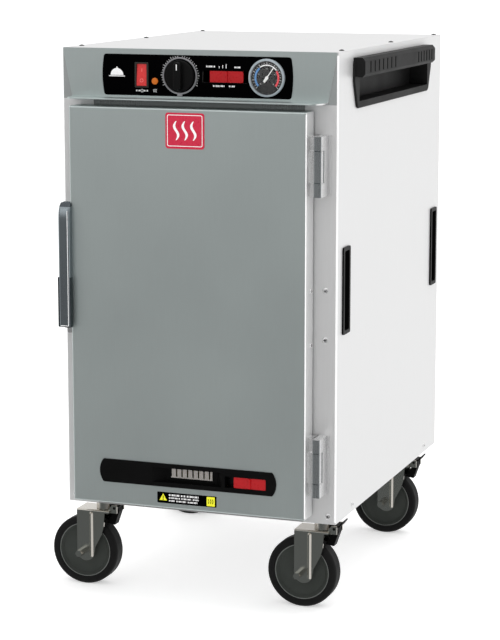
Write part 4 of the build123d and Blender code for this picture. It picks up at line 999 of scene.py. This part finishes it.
    def mark_knob(self) -> None:
        """Paints the white pointer on the knob's grip bar."""
        low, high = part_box("thermostat_knob")
        x, z = front_middle("thermostat_knob")
        reach = (high.z - low.z) / 2
        groove = placed(Facing.FRONT, low.y + self.groove_depth)
        line = bar((x, z + reach * 0.37), (x, z + reach * 0.75), 0.0017)
        print_marks("knob_pointer_line", [line], groove, "thermostat_knob", height=0.0003)


@dataclass
class Thermometer:
    """Printed dial of the thermometer, with its coloured bands and strokes."""

    rim: float = 0.0036
    sweep: float = 132.0
    ticks: int = 25
    ink: float = 0.00005

    def build(self) -> None:
        """Makes the dial face and its print."""
        low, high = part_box("thermometer_case")
        centre = front_middle("thermometer_case")
        radius = (high.z - low.z) / 2 - self.rim
        floor_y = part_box("thermometer_pointer")[0].y + 0.0012
        face = placed(Facing.FRONT, floor_y + 0.00002)
        plate = disc(centre, radius - 0.0001, 96)
        print_marks(
            "dial_face", [plate], face, slot="overlay_black", look="overlay_black", height=0.00006
        )
        print_place = placed(Facing.FRONT, floor_y - 0.00006)
        for name, start, end, inner, look in (
            ("dial_band_cold", -self.sweep, -40.0, 0.66, "print_blue"),
            ("dial_band_warm", -36.0, 52.0, 0.72, "print_white"),
            ("dial_band_hot", 56.0, self.sweep, 0.66, "print_red"),
        ):
            mesh = bmesh.new()
            radii = (radius * inner, radius * 0.78)
            arc_band(mesh, centre, radii, (start, end), print_place, self.ink)
            add_object(name, mesh, "cabinet", "needle_white", look)
        strokes = []
        for tick in range(self.ticks):
            clock = -self.sweep + 2 * self.sweep * tick / (self.ticks - 1)
            inner, outer = (0.82, 0.88) if tick % 3 else (0.80, 0.93)
            start, end = (polar(centre, radius * share, clock) for share in (inner, outer))
            strokes.append(bar(start, end, 0.0005))
            if tick % 6 == 0:
                strokes.append(disc(polar(centre, radius * 0.54, clock), 0.0006, 12))
        print_marks("dial_strokes", strokes, print_place, height=self.ink)


@dataclass
class FrontPlates:
    """Red badge and black caution plate on the door, both with plain generic signs."""

    badge_size: Point = (0.0705, 0.060)
    badge_top_gap: float = 0.0067
    badge_bulge: float = 0.0028
    caution_size: Point = (0.110, 0.0195)
    caution_foot_gap: float = 0.009
    across: float = -0.007
    badge_thickness: float = 0.0008
    caution_thickness: float = 0.0003
    print_height: float = 0.00012
    wave_pitch: float = 0.0155
    wave_height: float = 0.032
    wave_swing: float = 0.0036
    wave_steps: int = 24

    def build(self) -> None:
        """Makes both plates."""
        low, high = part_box("door_skin")
        self.face = low.y
        self.front = placed(Facing.FRONT, self.face)
        self.build_badge((self.across, high.z - self.badge_top_gap - self.badge_size[1] / 2))
        self.build_caution((self.across, low.z + self.caution_foot_gap + self.caution_size[1] / 2))

    def build_badge(self, centre: Point) -> None:
        """Makes the badge: a red plate, a white frame line and three rising heat waves.

        Args:
            centre: Middle of the badge.
        """
        outline = [
            self.bulged(point, centre) for point in rounded_box(centre, self.badge_size, 0.0045, 8)
        ]
        plate = print_marks(
            "door_badge", [outline], self.front, "door", "slider_red", "badge_red", self.badge_thickness
        )
        soften(plate, 0.0003)
        mesh = bmesh.new()
        raised = placed(Facing.FRONT, self.face - self.badge_thickness)
        size = self.badge_size
        inner = rounded_box(centre, (size[0] - 0.0088, size[1] - 0.0088), 0.0022)
        outer = rounded_box(centre, (size[0] - 0.0066, size[1] - 0.0066), 0.003)
        raise_band(mesh, inner, outer, raised, self.print_height, closed=True)
        for wave in (-1, 0, 1):
            self.add_wave(mesh, (centre[0] + wave * self.wave_pitch, centre[1]), raised)
        add_object("door_badge_print", mesh, "door", "needle_white", "print_white")

    def bulged(self, point: Point, centre: Point) -> Point:
        """Moves a point of the badge's foot down, most of all in the middle."""
        if point[1] > centre[1]:
            return point
        share = (point[0] - centre[0]) / (self.badge_size[0] / 2)
        return point[0], point[1] - self.badge_bulge * (1.0 - share**2)

    def add_wave(self, mesh: bmesh.types.BMesh, centre: Point, place: Place) -> None:
        """Adds one rising wave, thick in the middle.

        Args:
            mesh: The bmesh to add to.
            centre: Its middle.
            place: The drawing's mapping.
        """
        left, right = [], []
        for step in range(self.wave_steps + 1):
            share = step / self.wave_steps
            x = centre[0] + self.wave_swing * math.sin(2 * math.pi * share)
            z = centre[1] + (share - 0.5) * self.wave_height
            half = 0.0026 * math.sin(math.pi * (0.12 + 0.76 * share))
            left.append((x - half, z))
            right.append((x + half, z))
        raise_band(mesh, left, right, place, self.print_height, closed=False)

    def build_caution(self, centre: Point) -> None:
        """Makes the black plate with a plain triangle, rows of blocks and a plain square.

        Args:
            centre: Middle of the plate.
        """
        size = self.caution_size
        plate = rounded_box(centre, size, 0.0012, 3)
        black = ("door", "overlay_black", "overlay_black")
        print_marks("caution_plate", [plate], self.front, *black, self.caution_thickness)
        raised = placed(Facing.FRONT, self.face - self.caution_thickness)
        left, right = centre[0] - size[0] / 2, centre[0] + size[0] / 2
        sign = (left + 0.011, centre[1] - 0.001)
        square_x = right - 0.0105
        triangle = [polar(sign, 0.0082, clock) for clock in (0, 240, 120)]
        square = rounded_box((square_x, centre[1]), (0.015, 0.0165), 0.0006, 2)
        print_marks("caution_signs", [triangle, square], raised, "door", look="print_yellow")
        blocks = []
        for row, counts in enumerate(((7, 3, 8), (9, 8, 5), (5, 8, 8))):
            x, row_z = left + 0.0215, centre[1] + 0.0052 - row * 0.0051
            size = (0.0022, 0.0032) if row == 0 else (0.0018, 0.0026)
            for letters in counts:
                reach = letters * size[0] * 1.3
                blocks += word((x + reach / 2, row_z), letters, size)
                x += reach + 0.0024
        print_marks("caution_lines", blocks, raised, "door")
        marks = []
        for wave in (-1, 0, 1):
            x, lean = square_x + wave * 0.0038, 0.0008
            for foot, side in ((-0.004, -1), (0.0, 1)):
                start, end = centre[1] + foot, centre[1] + foot + 0.004
                marks.append(bar((x + side * lean, start), (x - side * lean, end), 0.0012))
        marks.append(bar((sign[0], sign[1] - 0.0012), (sign[0], sign[1] + 0.0042), 0.0015))
        marks.append(disc((sign[0], sign[1] - 0.0028), 0.0009, 12))
        dark = placed(Facing.FRONT, self.face - 0.00045)
        print_marks("caution_heat_sign", marks, dark, *black, 0.00005)


@dataclass
class Door:
    """Door shells, gasket, vent, hinges and latch."""

    finishes: dict[str, str] = field(
        default_factory=lambda: {
            "door_skin": "door_aluminium",
            "door_liner": "liner_aluminium",
            "door_insulation": "insulation_wool",
            "door_gasket": "gasket_rubber",
            "vent_bezel": "bezel_black",
            "vent_slider": "vent_tab_red",
            "hinge_door_leaves": "hinge_steel",
            "hinge_frame_leaves": "hinge_steel",
            "hinge_pins": "screw_steel",
            "latch_base": "latch_case",
            "latch_lever": "latch_steel",
            "latch_strike": "strike_steel",
        }
    )
    hinge_height: float = 0.101
    knuckle: float = 0.053

    def build(self) -> None:
        """Dresses the door's nodes."""
        for node, name in self.finishes.items():
            dress(node, name)
        LOG.info("door: %d nodes dressed", len(self.finishes))
        self.draw_hinge_joints()

    def draw_hinge_joints(self) -> None:
        """Lays a dark joint line across each hinge barrel where its knuckles meet."""
        low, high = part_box("hinge_frame_leaves")
        place = placed(Facing.FRONT, low.y)
        lines = []
        for middle_z in (low.z + self.hinge_height / 2, high.z - self.hinge_height / 2):
            for side in (-1, 1):
                z = middle_z + side * self.knuckle / 2
                lines.append(bar((HINGE_AXIS_X - 0.0052, z), (HINGE_AXIS_X + 0.0052, z), 0.0011))
        print_marks("hinge_joint_lines", lines, place, "cabinet", "hinge_steel", "latch_case", 0.00005)


@dataclass
class LatchTrim:
    """Painted highlight line on the lever's edge, dark foot sleeve and an end cap darkened as painted
    shade on the latch lever.
    """

    line_width: float = 0.0010
    line_inset: float = 0.0012
    sleeve_height: float = 0.086
    sleeve_wall: float = 0.0018
    sleeve_depth: float = 0.009
    cap_height: float = 0.0075
    cap_depth: float = 0.0085

    def build(self) -> None:
        """Makes the painted highlight line down the door side, the sleeve round the foot and the dark
        cap on top, which is painted shade.
        """
        low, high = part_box("latch_lever")
        front = placed(Facing.FRONT, low.y)
        right, foot = high.x - self.line_inset - 0.0022, low.z + self.line_inset
        # Painted highlight: bright lines down the lever's right edge and along its foot.
        marks = [
            bar((right, foot), (right, high.z - 0.014), self.line_width),
            bar((low.x + 0.0034, foot), (right, foot), self.line_width),
        ]
        body = "latch_lever"
        print_marks("lever_edge_highlight", marks, front, body, "strike_steel", "painted_edge_highlight")
        mesh = bmesh.new()
        wall, thin_wall = self.sleeve_wall, self.sleeve_wall * 0.6
        back = placed(Facing.FRONT, low.y + self.sleeve_depth + 0.0012)
        for x, wide in ((low.x - wall / 2, wall), (high.x + wall * 0.3, thin_wall)):
            strip = bar((x, low.z), (x, low.z + self.sleeve_height), wide)
            raise_outline(mesh, strip, back, self.sleeve_depth)
        floor_z = low.z - 0.0007
        floor = bar((low.x - wall, floor_z), (high.x + thin_wall, floor_z), 0.0014)
        raise_outline(mesh, floor, back, self.sleeve_depth)
        # Painted shade: a dark leaning cap on top where the lever's top turns back.
        side = placed(Facing.RIGHT, low.x + 0.0006)
        lean = [
            (high.y - self.cap_depth, high.z - self.cap_height),
            (high.y, high.z - self.cap_height),
            (high.y, high.z),
            (high.y - self.cap_depth * 0.55, high.z - self.cap_height * 0.3),
        ]
        raise_outline(mesh, lean, side, high.x - low.x - 0.0012)
        trim = add_object("lever_trim", mesh, body, "latch_steel", "latch_case")
        soften(trim, 0.0004)


@dataclass
class EdgeHighlights:
    """Painted highlights: bright glowing strips down the door's hinge side and the cabinet's front
    corners, standing in for light on their rounded edges.
    """

    door_width: float = 0.0016
    corner_width: float = 0.0024
    end_gap: float = 0.004
    proud: float = 0.00012

    def build(self) -> None:
        """Makes the edge strips."""
        low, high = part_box("door_skin")
        self.add_edge("door_edge_highlight", "door", (high.x, low.y), (low.z, high.z), self.door_width)
        panel_low, panel_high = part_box("side_panel_right")
        corner = (panel_high.x, panel_low.y)
        self.add_edge(
            "corner_edge_highlight", "cabinet", corner, (panel_low.z, panel_high.z), self.corner_width
        )

    def add_edge(self, name: str, body: str, corner: Point, ends: Point, width: float) -> None:
        """Adds one strip, rounded at its outer corner.

        Args:
            name: The piece's name.
            body: The body it rides.
            corner: Plan place of the sharp corner, facing right and front.
            ends: Foot and head.
            width: Width of the strip on each face.
        """
        proud = self.proud
        outline = [
            (corner[0] + proud, corner[1] + width),
            (corner[0] - width, corner[1] + width),
            (corner[0] - width, corner[1] - proud),
            (corner[0] - proud, corner[1] - proud),
            (corner[0] + proud, corner[1] + proud),
        ]
        foot, head = ends[0] + self.end_gap, ends[1] - self.end_gap
        mesh = bmesh.new()
        raise_outline(mesh, outline, placed(Facing.UP, foot), head - foot)
        add_object(name, mesh, body, "strike_steel", "painted_edge_highlight")


@dataclass
class VentLouvre:
    """Bright comb-shaped strip seen through the door's vent."""

    teeth: int = 8
    pitch: float = 0.0102
    gap: float = 0.0027
    height: float = 0.0165
    foot_strip: float = 0.0022
    overhang: float = 0.0052
    first_slot: float = -0.0293
    rise: float = 0.0026
    recess_depth: float = 0.0115
    thickness: float = 0.0006

    def build(self) -> None:
        """Makes the comb on the floor of the vent's recess."""
        low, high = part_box("vent_bezel")
        place = placed(Facing.FRONT, low.y + self.recess_depth)
        foot = (low.z + high.z) / 2 + self.rise - self.height / 2
        left = self.first_slot - self.pitch
        right = left + (self.teeth - 1) * self.pitch + self.overhang
        strip_top = foot + self.foot_strip
        mesh = bmesh.new()
        outlines = [rectangle(left, foot, right, strip_top)]
        for tooth in range(self.teeth):
            near = left + tooth * self.pitch + self.gap / 2
            far = min(near + self.pitch - self.gap, right)
            outlines.append(rectangle(near, strip_top, far, foot + self.height))
        for outline in outlines:
            raise_outline(mesh, outline, place, self.thickness)
        add_object("vent_comb", mesh, "door", "liner_aluminium", "louvre_metal")


@dataclass
class DomeScrews:
    """Dome-headed screws with a cross recess drawn as a painted dark cross: over the cabinet's screws
    and on the door's edge.
    """

    radius: float = 0.0046
    height: float = 0.0021
    full_height: float = 0.0024
    door_depth: float = 0.0265
    door_heights: tuple[float, ...] = (0.5765, 0.4835)
    turns: int = 24
    cross_reach: float = 0.0024
    cross_width: float = 0.0010
    heads: list[tuple[Vector, Vector, Vector]] = field(default_factory=list)

    def build(self) -> None:
        """Puts a dome on each cabinet screw and makes the two in the door's hinge edge."""
        self.cover_cabinet_screws()
        low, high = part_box("door_skin")
        mesh = bmesh.new()
        for height in self.door_heights:
            centre = Vector((high.x, low.y + self.door_depth, height))
            self.add_dome(mesh, centre, Vector((1.0, 0.0, 0.0)), Vector((0.0, 1.0, 0.0)))
        self.add_crosses("door_edge", "door")
        add_object("door_edge_screws", mesh, "door", "screw_steel", "screw_steel", smooth=True)

    @staticmethod
    def islands(mesh: bmesh.types.BMesh) -> Iterable[list[Vector]]:
        """Yields the vertex places of each loose part of a mesh.

        Args:
            mesh: The bmesh, with doubled vertices already joined.
        """
        left_over = set(mesh.verts)
        for start in mesh.verts:
            if start not in left_over:
                continue
            left_over.remove(start)
            island, edge = [], [start]
            while edge:
                vertex = edge.pop()
                island.append(vertex.co.copy())
                for link in vertex.link_edges:
                    other = link.other_vert(vertex)
                    if other in left_over:
                        left_over.remove(other)
                        edge.append(other)
            yield island

    def cover_cabinet_screws(self) -> None:
        """Draws every screw in the cabinet's sheets as a dome head with a sunk middle."""
        solid = bmesh.new()
        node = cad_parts["cabinet_screws"]
        solid.from_mesh(node.data)
        bmesh.ops.remove_doubles(solid, verts=solid.verts, dist=0.00001)
        groups = {"casing": bmesh.new(), "top": bmesh.new()}
        for island in self.islands(solid):
            places = [node.matrix_world @ point for point in island]
            low = Vector([min(place[axis] for place in places) for axis in range(3)])
            high = Vector([max(place[axis] for place in places) for axis in range(3)])
            size, centre = high - low, (high + low) / 2
            axis = min(range(3), key=lambda index: size[index])
            across = unit((axis + 1) % 3)
            rim = [
                place for place in places
                if (place - centre - (place - centre)[axis] * unit(axis)).length > self.radius * 0.9
            ]
            seat = sum(place[axis] for place in rim) / len(rim)
            out = unit(axis) * (1.0 if seat > centre[axis] else -1.0)
            tip = high[axis] if out[axis] > 0 else low[axis]
            centre[axis] = tip - out[axis] * self.full_height
            name, scale = ("top", 1.0) if axis == 2 else ("casing", 1.2)
            self.add_dome(groups[name], centre, out, across, scale)
        solid.free()
        for name, look in (("casing", "screw_steel"), ("top", "screw_dark")):
            screws = add_object(
                f"{name}_screws", groups[name], "cabinet", "screw_steel", look, smooth=True
            )
            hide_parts("cabinet_screws")
        self.add_crosses("casing", "cabinet")

    def add_crosses(self, name: str, body: str) -> None:
        """Lays a flat dark cross on every dome head made since the last call, as painted shade in its
        cross recess.

        Args:
            name: Start of the piece's name.
            body: The body that the heads ride.
        """
        mesh = bmesh.new()
        for centre, out, across in self.heads:
            up = out.cross(across)
            top = centre + out * (self.height + 0.00006)
            for way, side in ((across, up), (up, across)):
                reach, half = way * self.cross_reach, side * (self.cross_width / 2)
                corners = [
                    top + reach * end + half * edge
                    for end, edge in ((-1, -1), (1, -1), (1, 1), (-1, 1))
                ]
                mesh.faces.new([mesh.verts.new(corner) for corner in corners])
        self.heads.clear()
        add_object(f"{name}_screw_crosses", mesh, body, "screw_steel", "screw_dark")

    def add_dome(
        self, mesh: bmesh.types.BMesh, centre: Vector, out: Vector, across: Vector, scale: float = 1.0
    ) -> None:
        """Adds one dome head.

        Args:
            mesh: The bmesh to add to.
            centre: Middle of its seat.
            out: Unit vector away from the sheet.
            across: Unit vector along the sheet.
            scale: Share of the plain head's radius.
        """
        up = out.cross(across)
        self.heads.append((centre, out, across))
        rings = []
        for share in (1.0, 0.97, 0.88, 0.7, 0.45, 0.28):
            lift = self.height * math.sqrt(max(0.0, 1.0 - share**2))
            rings.append(
                [
                    mesh.verts.new(
                        centre
                        + out * lift
                        + (across * math.cos(turn) + up * math.sin(turn)) * self.radius * scale * share
                    )
                    for turn in (2 * math.pi * step / self.turns for step in range(self.turns))
                ]
            )
        for outer, inner in zip(rings, rings[1:]):
            for step in range(self.turns):
                after = (step + 1) % self.turns
                mesh.faces.new((outer[step], outer[after], inner[after], inner[step]))
        sunk = mesh.verts.new(centre + out * self.height)
        for step in range(self.turns):
            after = (step + 1) % self.turns
            mesh.faces.new((rings[-1][step], rings[-1][after], sunk))


@dataclass
class Casters:
    """The four braked casters."""

    corners: tuple[str, ...] = ("fl", "fr", "rl", "rr")
    rim_face: float = 0.0135
    ring_inset: float = 0.0008
    ring_width: float = 0.0014
    ring_height: float = 0.0003

    def build(self) -> None:
        """Dresses each caster's nodes."""
        for corner in self.corners:
            for part, name in {
                "fork": "caster_zinc",
                "axle": "caster_zinc",
                "hub": "hub_grey",
                "tyre": "tyre_black",
                "brake": "brake_black",
            }.items():
                dress(f"caster_{corner}_{part}", name)
            self.add_rings(corner)
        dress("caster_plates", "caster_zinc")
        dress("caster_bolts", "caster_zinc")
        LOG.info("casters: %d corners dressed", len(self.corners))

    def add_rings(self, corner: str) -> None:
        """Adds a pale ring near the rim on both faces of a hub.

        Args:
            corner: The caster's corner.
        """
        low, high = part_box(f"caster_{corner}_hub")
        outer = (high.z - low.z) / 2 - self.ring_inset
        radii = (outer - self.ring_width, outer)
        centre = front_middle(f"caster_{corner}_hub")
        face = (high.y + low.y) / 2
        mesh = bmesh.new()
        for facing, way in ((Facing.FRONT, -1), (Facing.BACK, 1)):
            place = placed(facing, face + way * self.rim_face)
            middle_point = (centre[0] if facing is Facing.FRONT else -centre[0], centre[1])
            arc_band(mesh, middle_point, radii, (0.0, 360.0), place, self.ring_height)
        add_object(f"caster_{corner}_hub_ring", mesh, f"caster_{corner}_wheel", "hub_grey", "hub_pale")


@dataclass
class Studio:
    """Pale floor, soft lights and the camera."""

    camera_place: tuple[float, float, float] = (1.3513, -3.8226, 1.1789)
    azimuth: float = 19.78
    elevation: float = 10.09
    lens: float = 124.0
    floor_reach: float = 60.0
    dark_front: Point = (-0.75, -0.1)
    sky_levels: Point = (0.22, 1.0)

    def build(self) -> None:
        """Makes the floor, the sky, the lights and the camera."""
        self.build_floor()
        self.build_sky()
        self.build_lights()
        self.build_camera()

    def build_floor(self) -> None:
        """Makes the plain pale floor."""
        mesh = bmesh.new()
        reach = self.floor_reach
        corners = [(-reach, -reach), (reach, -reach), (reach, reach), (-reach, reach)]
        mesh.faces.new([mesh.verts.new((x, y, 0.0)) for x, y in corners])
        data = bpy.data.meshes.new("studio_floor")
        mesh.to_mesh(data)
        mesh.free()
        floor = bpy.data.objects.new("studio_floor", data)
        bpy.context.scene.collection.objects.link(floor)
        sketch = NodeSketch("studio_floor_paint")
        sketch.shader.inputs["Base Color"].default_value = (0.93, 0.93, 0.93, 1.0)
        sketch.shader.inputs["Emission Color"].default_value = (1.0, 1.0, 1.0, 1.0)
        sketch.set(Roughness=0.9, Specular_IOR_Level=0.1, Emission_Strength=0.45)
        data.materials.append(sketch.material)
        floor.visible_glossy = False

    def build_sky(self) -> None:
        """Sets a pale surround that darkens low down in front of the door."""
        world = bpy.data.worlds.new("studio_sky")
        bpy.context.scene.world = world
        world.use_nodes = True
        tree = world.node_tree
        background = tree.nodes["Background"]
        coordinate = tree.nodes.new("ShaderNodeTexCoord")
        split = tree.nodes.new("ShaderNodeSeparateXYZ")
        tree.links.new(coordinate.outputs["Generated"], split.inputs["Vector"])
        shares = []
        for axis, start, stop in (("Y", self.dark_front[0], self.dark_front[1]), ("Z", 0.15, 0.8)):
            ramp = tree.nodes.new("ShaderNodeMapRange")
            ramp.interpolation_type = "SMOOTHSTEP"
            ramp.inputs["From Min"].default_value = start
            ramp.inputs["From Max"].default_value = stop
            tree.links.new(split.outputs[axis], ramp.inputs["Value"])
            shares.append(ramp.outputs["Result"])
        brighter = tree.nodes.new("ShaderNodeMath")
        brighter.operation = "MAXIMUM"
        tree.links.new(shares[0], brighter.inputs[0])
        tree.links.new(shares[1], brighter.inputs[1])
        level = tree.nodes.new("ShaderNodeMapRange")
        level.inputs["To Min"].default_value = self.sky_levels[0]
        level.inputs["To Max"].default_value = self.sky_levels[1]
        tree.links.new(brighter.outputs["Value"], level.inputs["Value"])
        tree.links.new(level.outputs["Result"], background.inputs["Strength"])
        background.inputs["Color"].default_value = (1.0, 1.0, 1.0, 1.0)
        bpy.context.scene.view_settings.view_transform = "Standard"

    def build_lights(self) -> None:
        """Hangs the softboxes: a big one overhead and a small one high in front on the left."""
        self.softbox("top_softbox", (1.2, 0.4, 4.2), (0.0, 0.1, 0.5), (4.0, 4.0), 30.0)
        self.softbox("front_softbox", (-1.6, -4.6, 2.2), (0.0, -0.2, 0.5), (2.4, 2.4), 14.0)

    def softbox(
        self, name: str, place: Sequence[float], target: Sequence[float], size: Point, power: float
    ) -> None:
        """Adds one rectangular area light.

        Args:
            name: The light's name.
            place: Where it hangs, in metres.
            target: The point it looks at.
            size: Width and height, in metres.
            power: Its power, in watts.
        """
        data = bpy.data.lights.new(name, "AREA")
        data.shape = "RECTANGLE"
        data.size, data.size_y = size
        data.energy = power
        light = bpy.data.objects.new(name, data)
        light.location = Vector(place)
        aim = Vector(target) - Vector(place)
        light.rotation_mode = "QUATERNION"
        light.rotation_quaternion = aim.to_track_quat("-Z", "Y")
        bpy.context.scene.collection.objects.link(light)

    def build_camera(self) -> None:
        """Makes the camera, to the front right and a little above the cabinet."""
        data = bpy.data.cameras.new("studio_camera")
        data.lens = self.lens
        data.clip_end = 100.0
        camera = bpy.data.objects.new("studio_camera", data)
        camera.location = Vector(self.camera_place)
        turn, tilt = math.radians(self.azimuth), math.radians(self.elevation)
        back = Vector(
            (math.sin(turn) * math.cos(tilt), -math.cos(turn) * math.cos(tilt), math.sin(tilt))
        )
        camera.rotation_mode = "QUATERNION"
        camera.rotation_quaternion = (-back).to_track_quat("-Z", "Y")
        bpy.context.scene.collection.objects.link(camera)
        bpy.context.scene.camera = camera


def main() -> None:
    """Builds the studio, then each sub-assembly in order."""
    logging.basicConfig(level=logging.INFO, format="%(name)s: %(message)s")
    for assembly in (
        Studio(),
        Casing(),
        ControlFascia(),
        Thermometer(),
        Door(),
        FrontPlates(),
        LatchTrim(),
        EdgeHighlights(),
        VentLouvre(),
        DomeScrews(),
        Casters(),
    ):
        assembly.build()
        LOG.info("built %s", type(assembly).__name__)


if __name__ == "__main__":
    main()
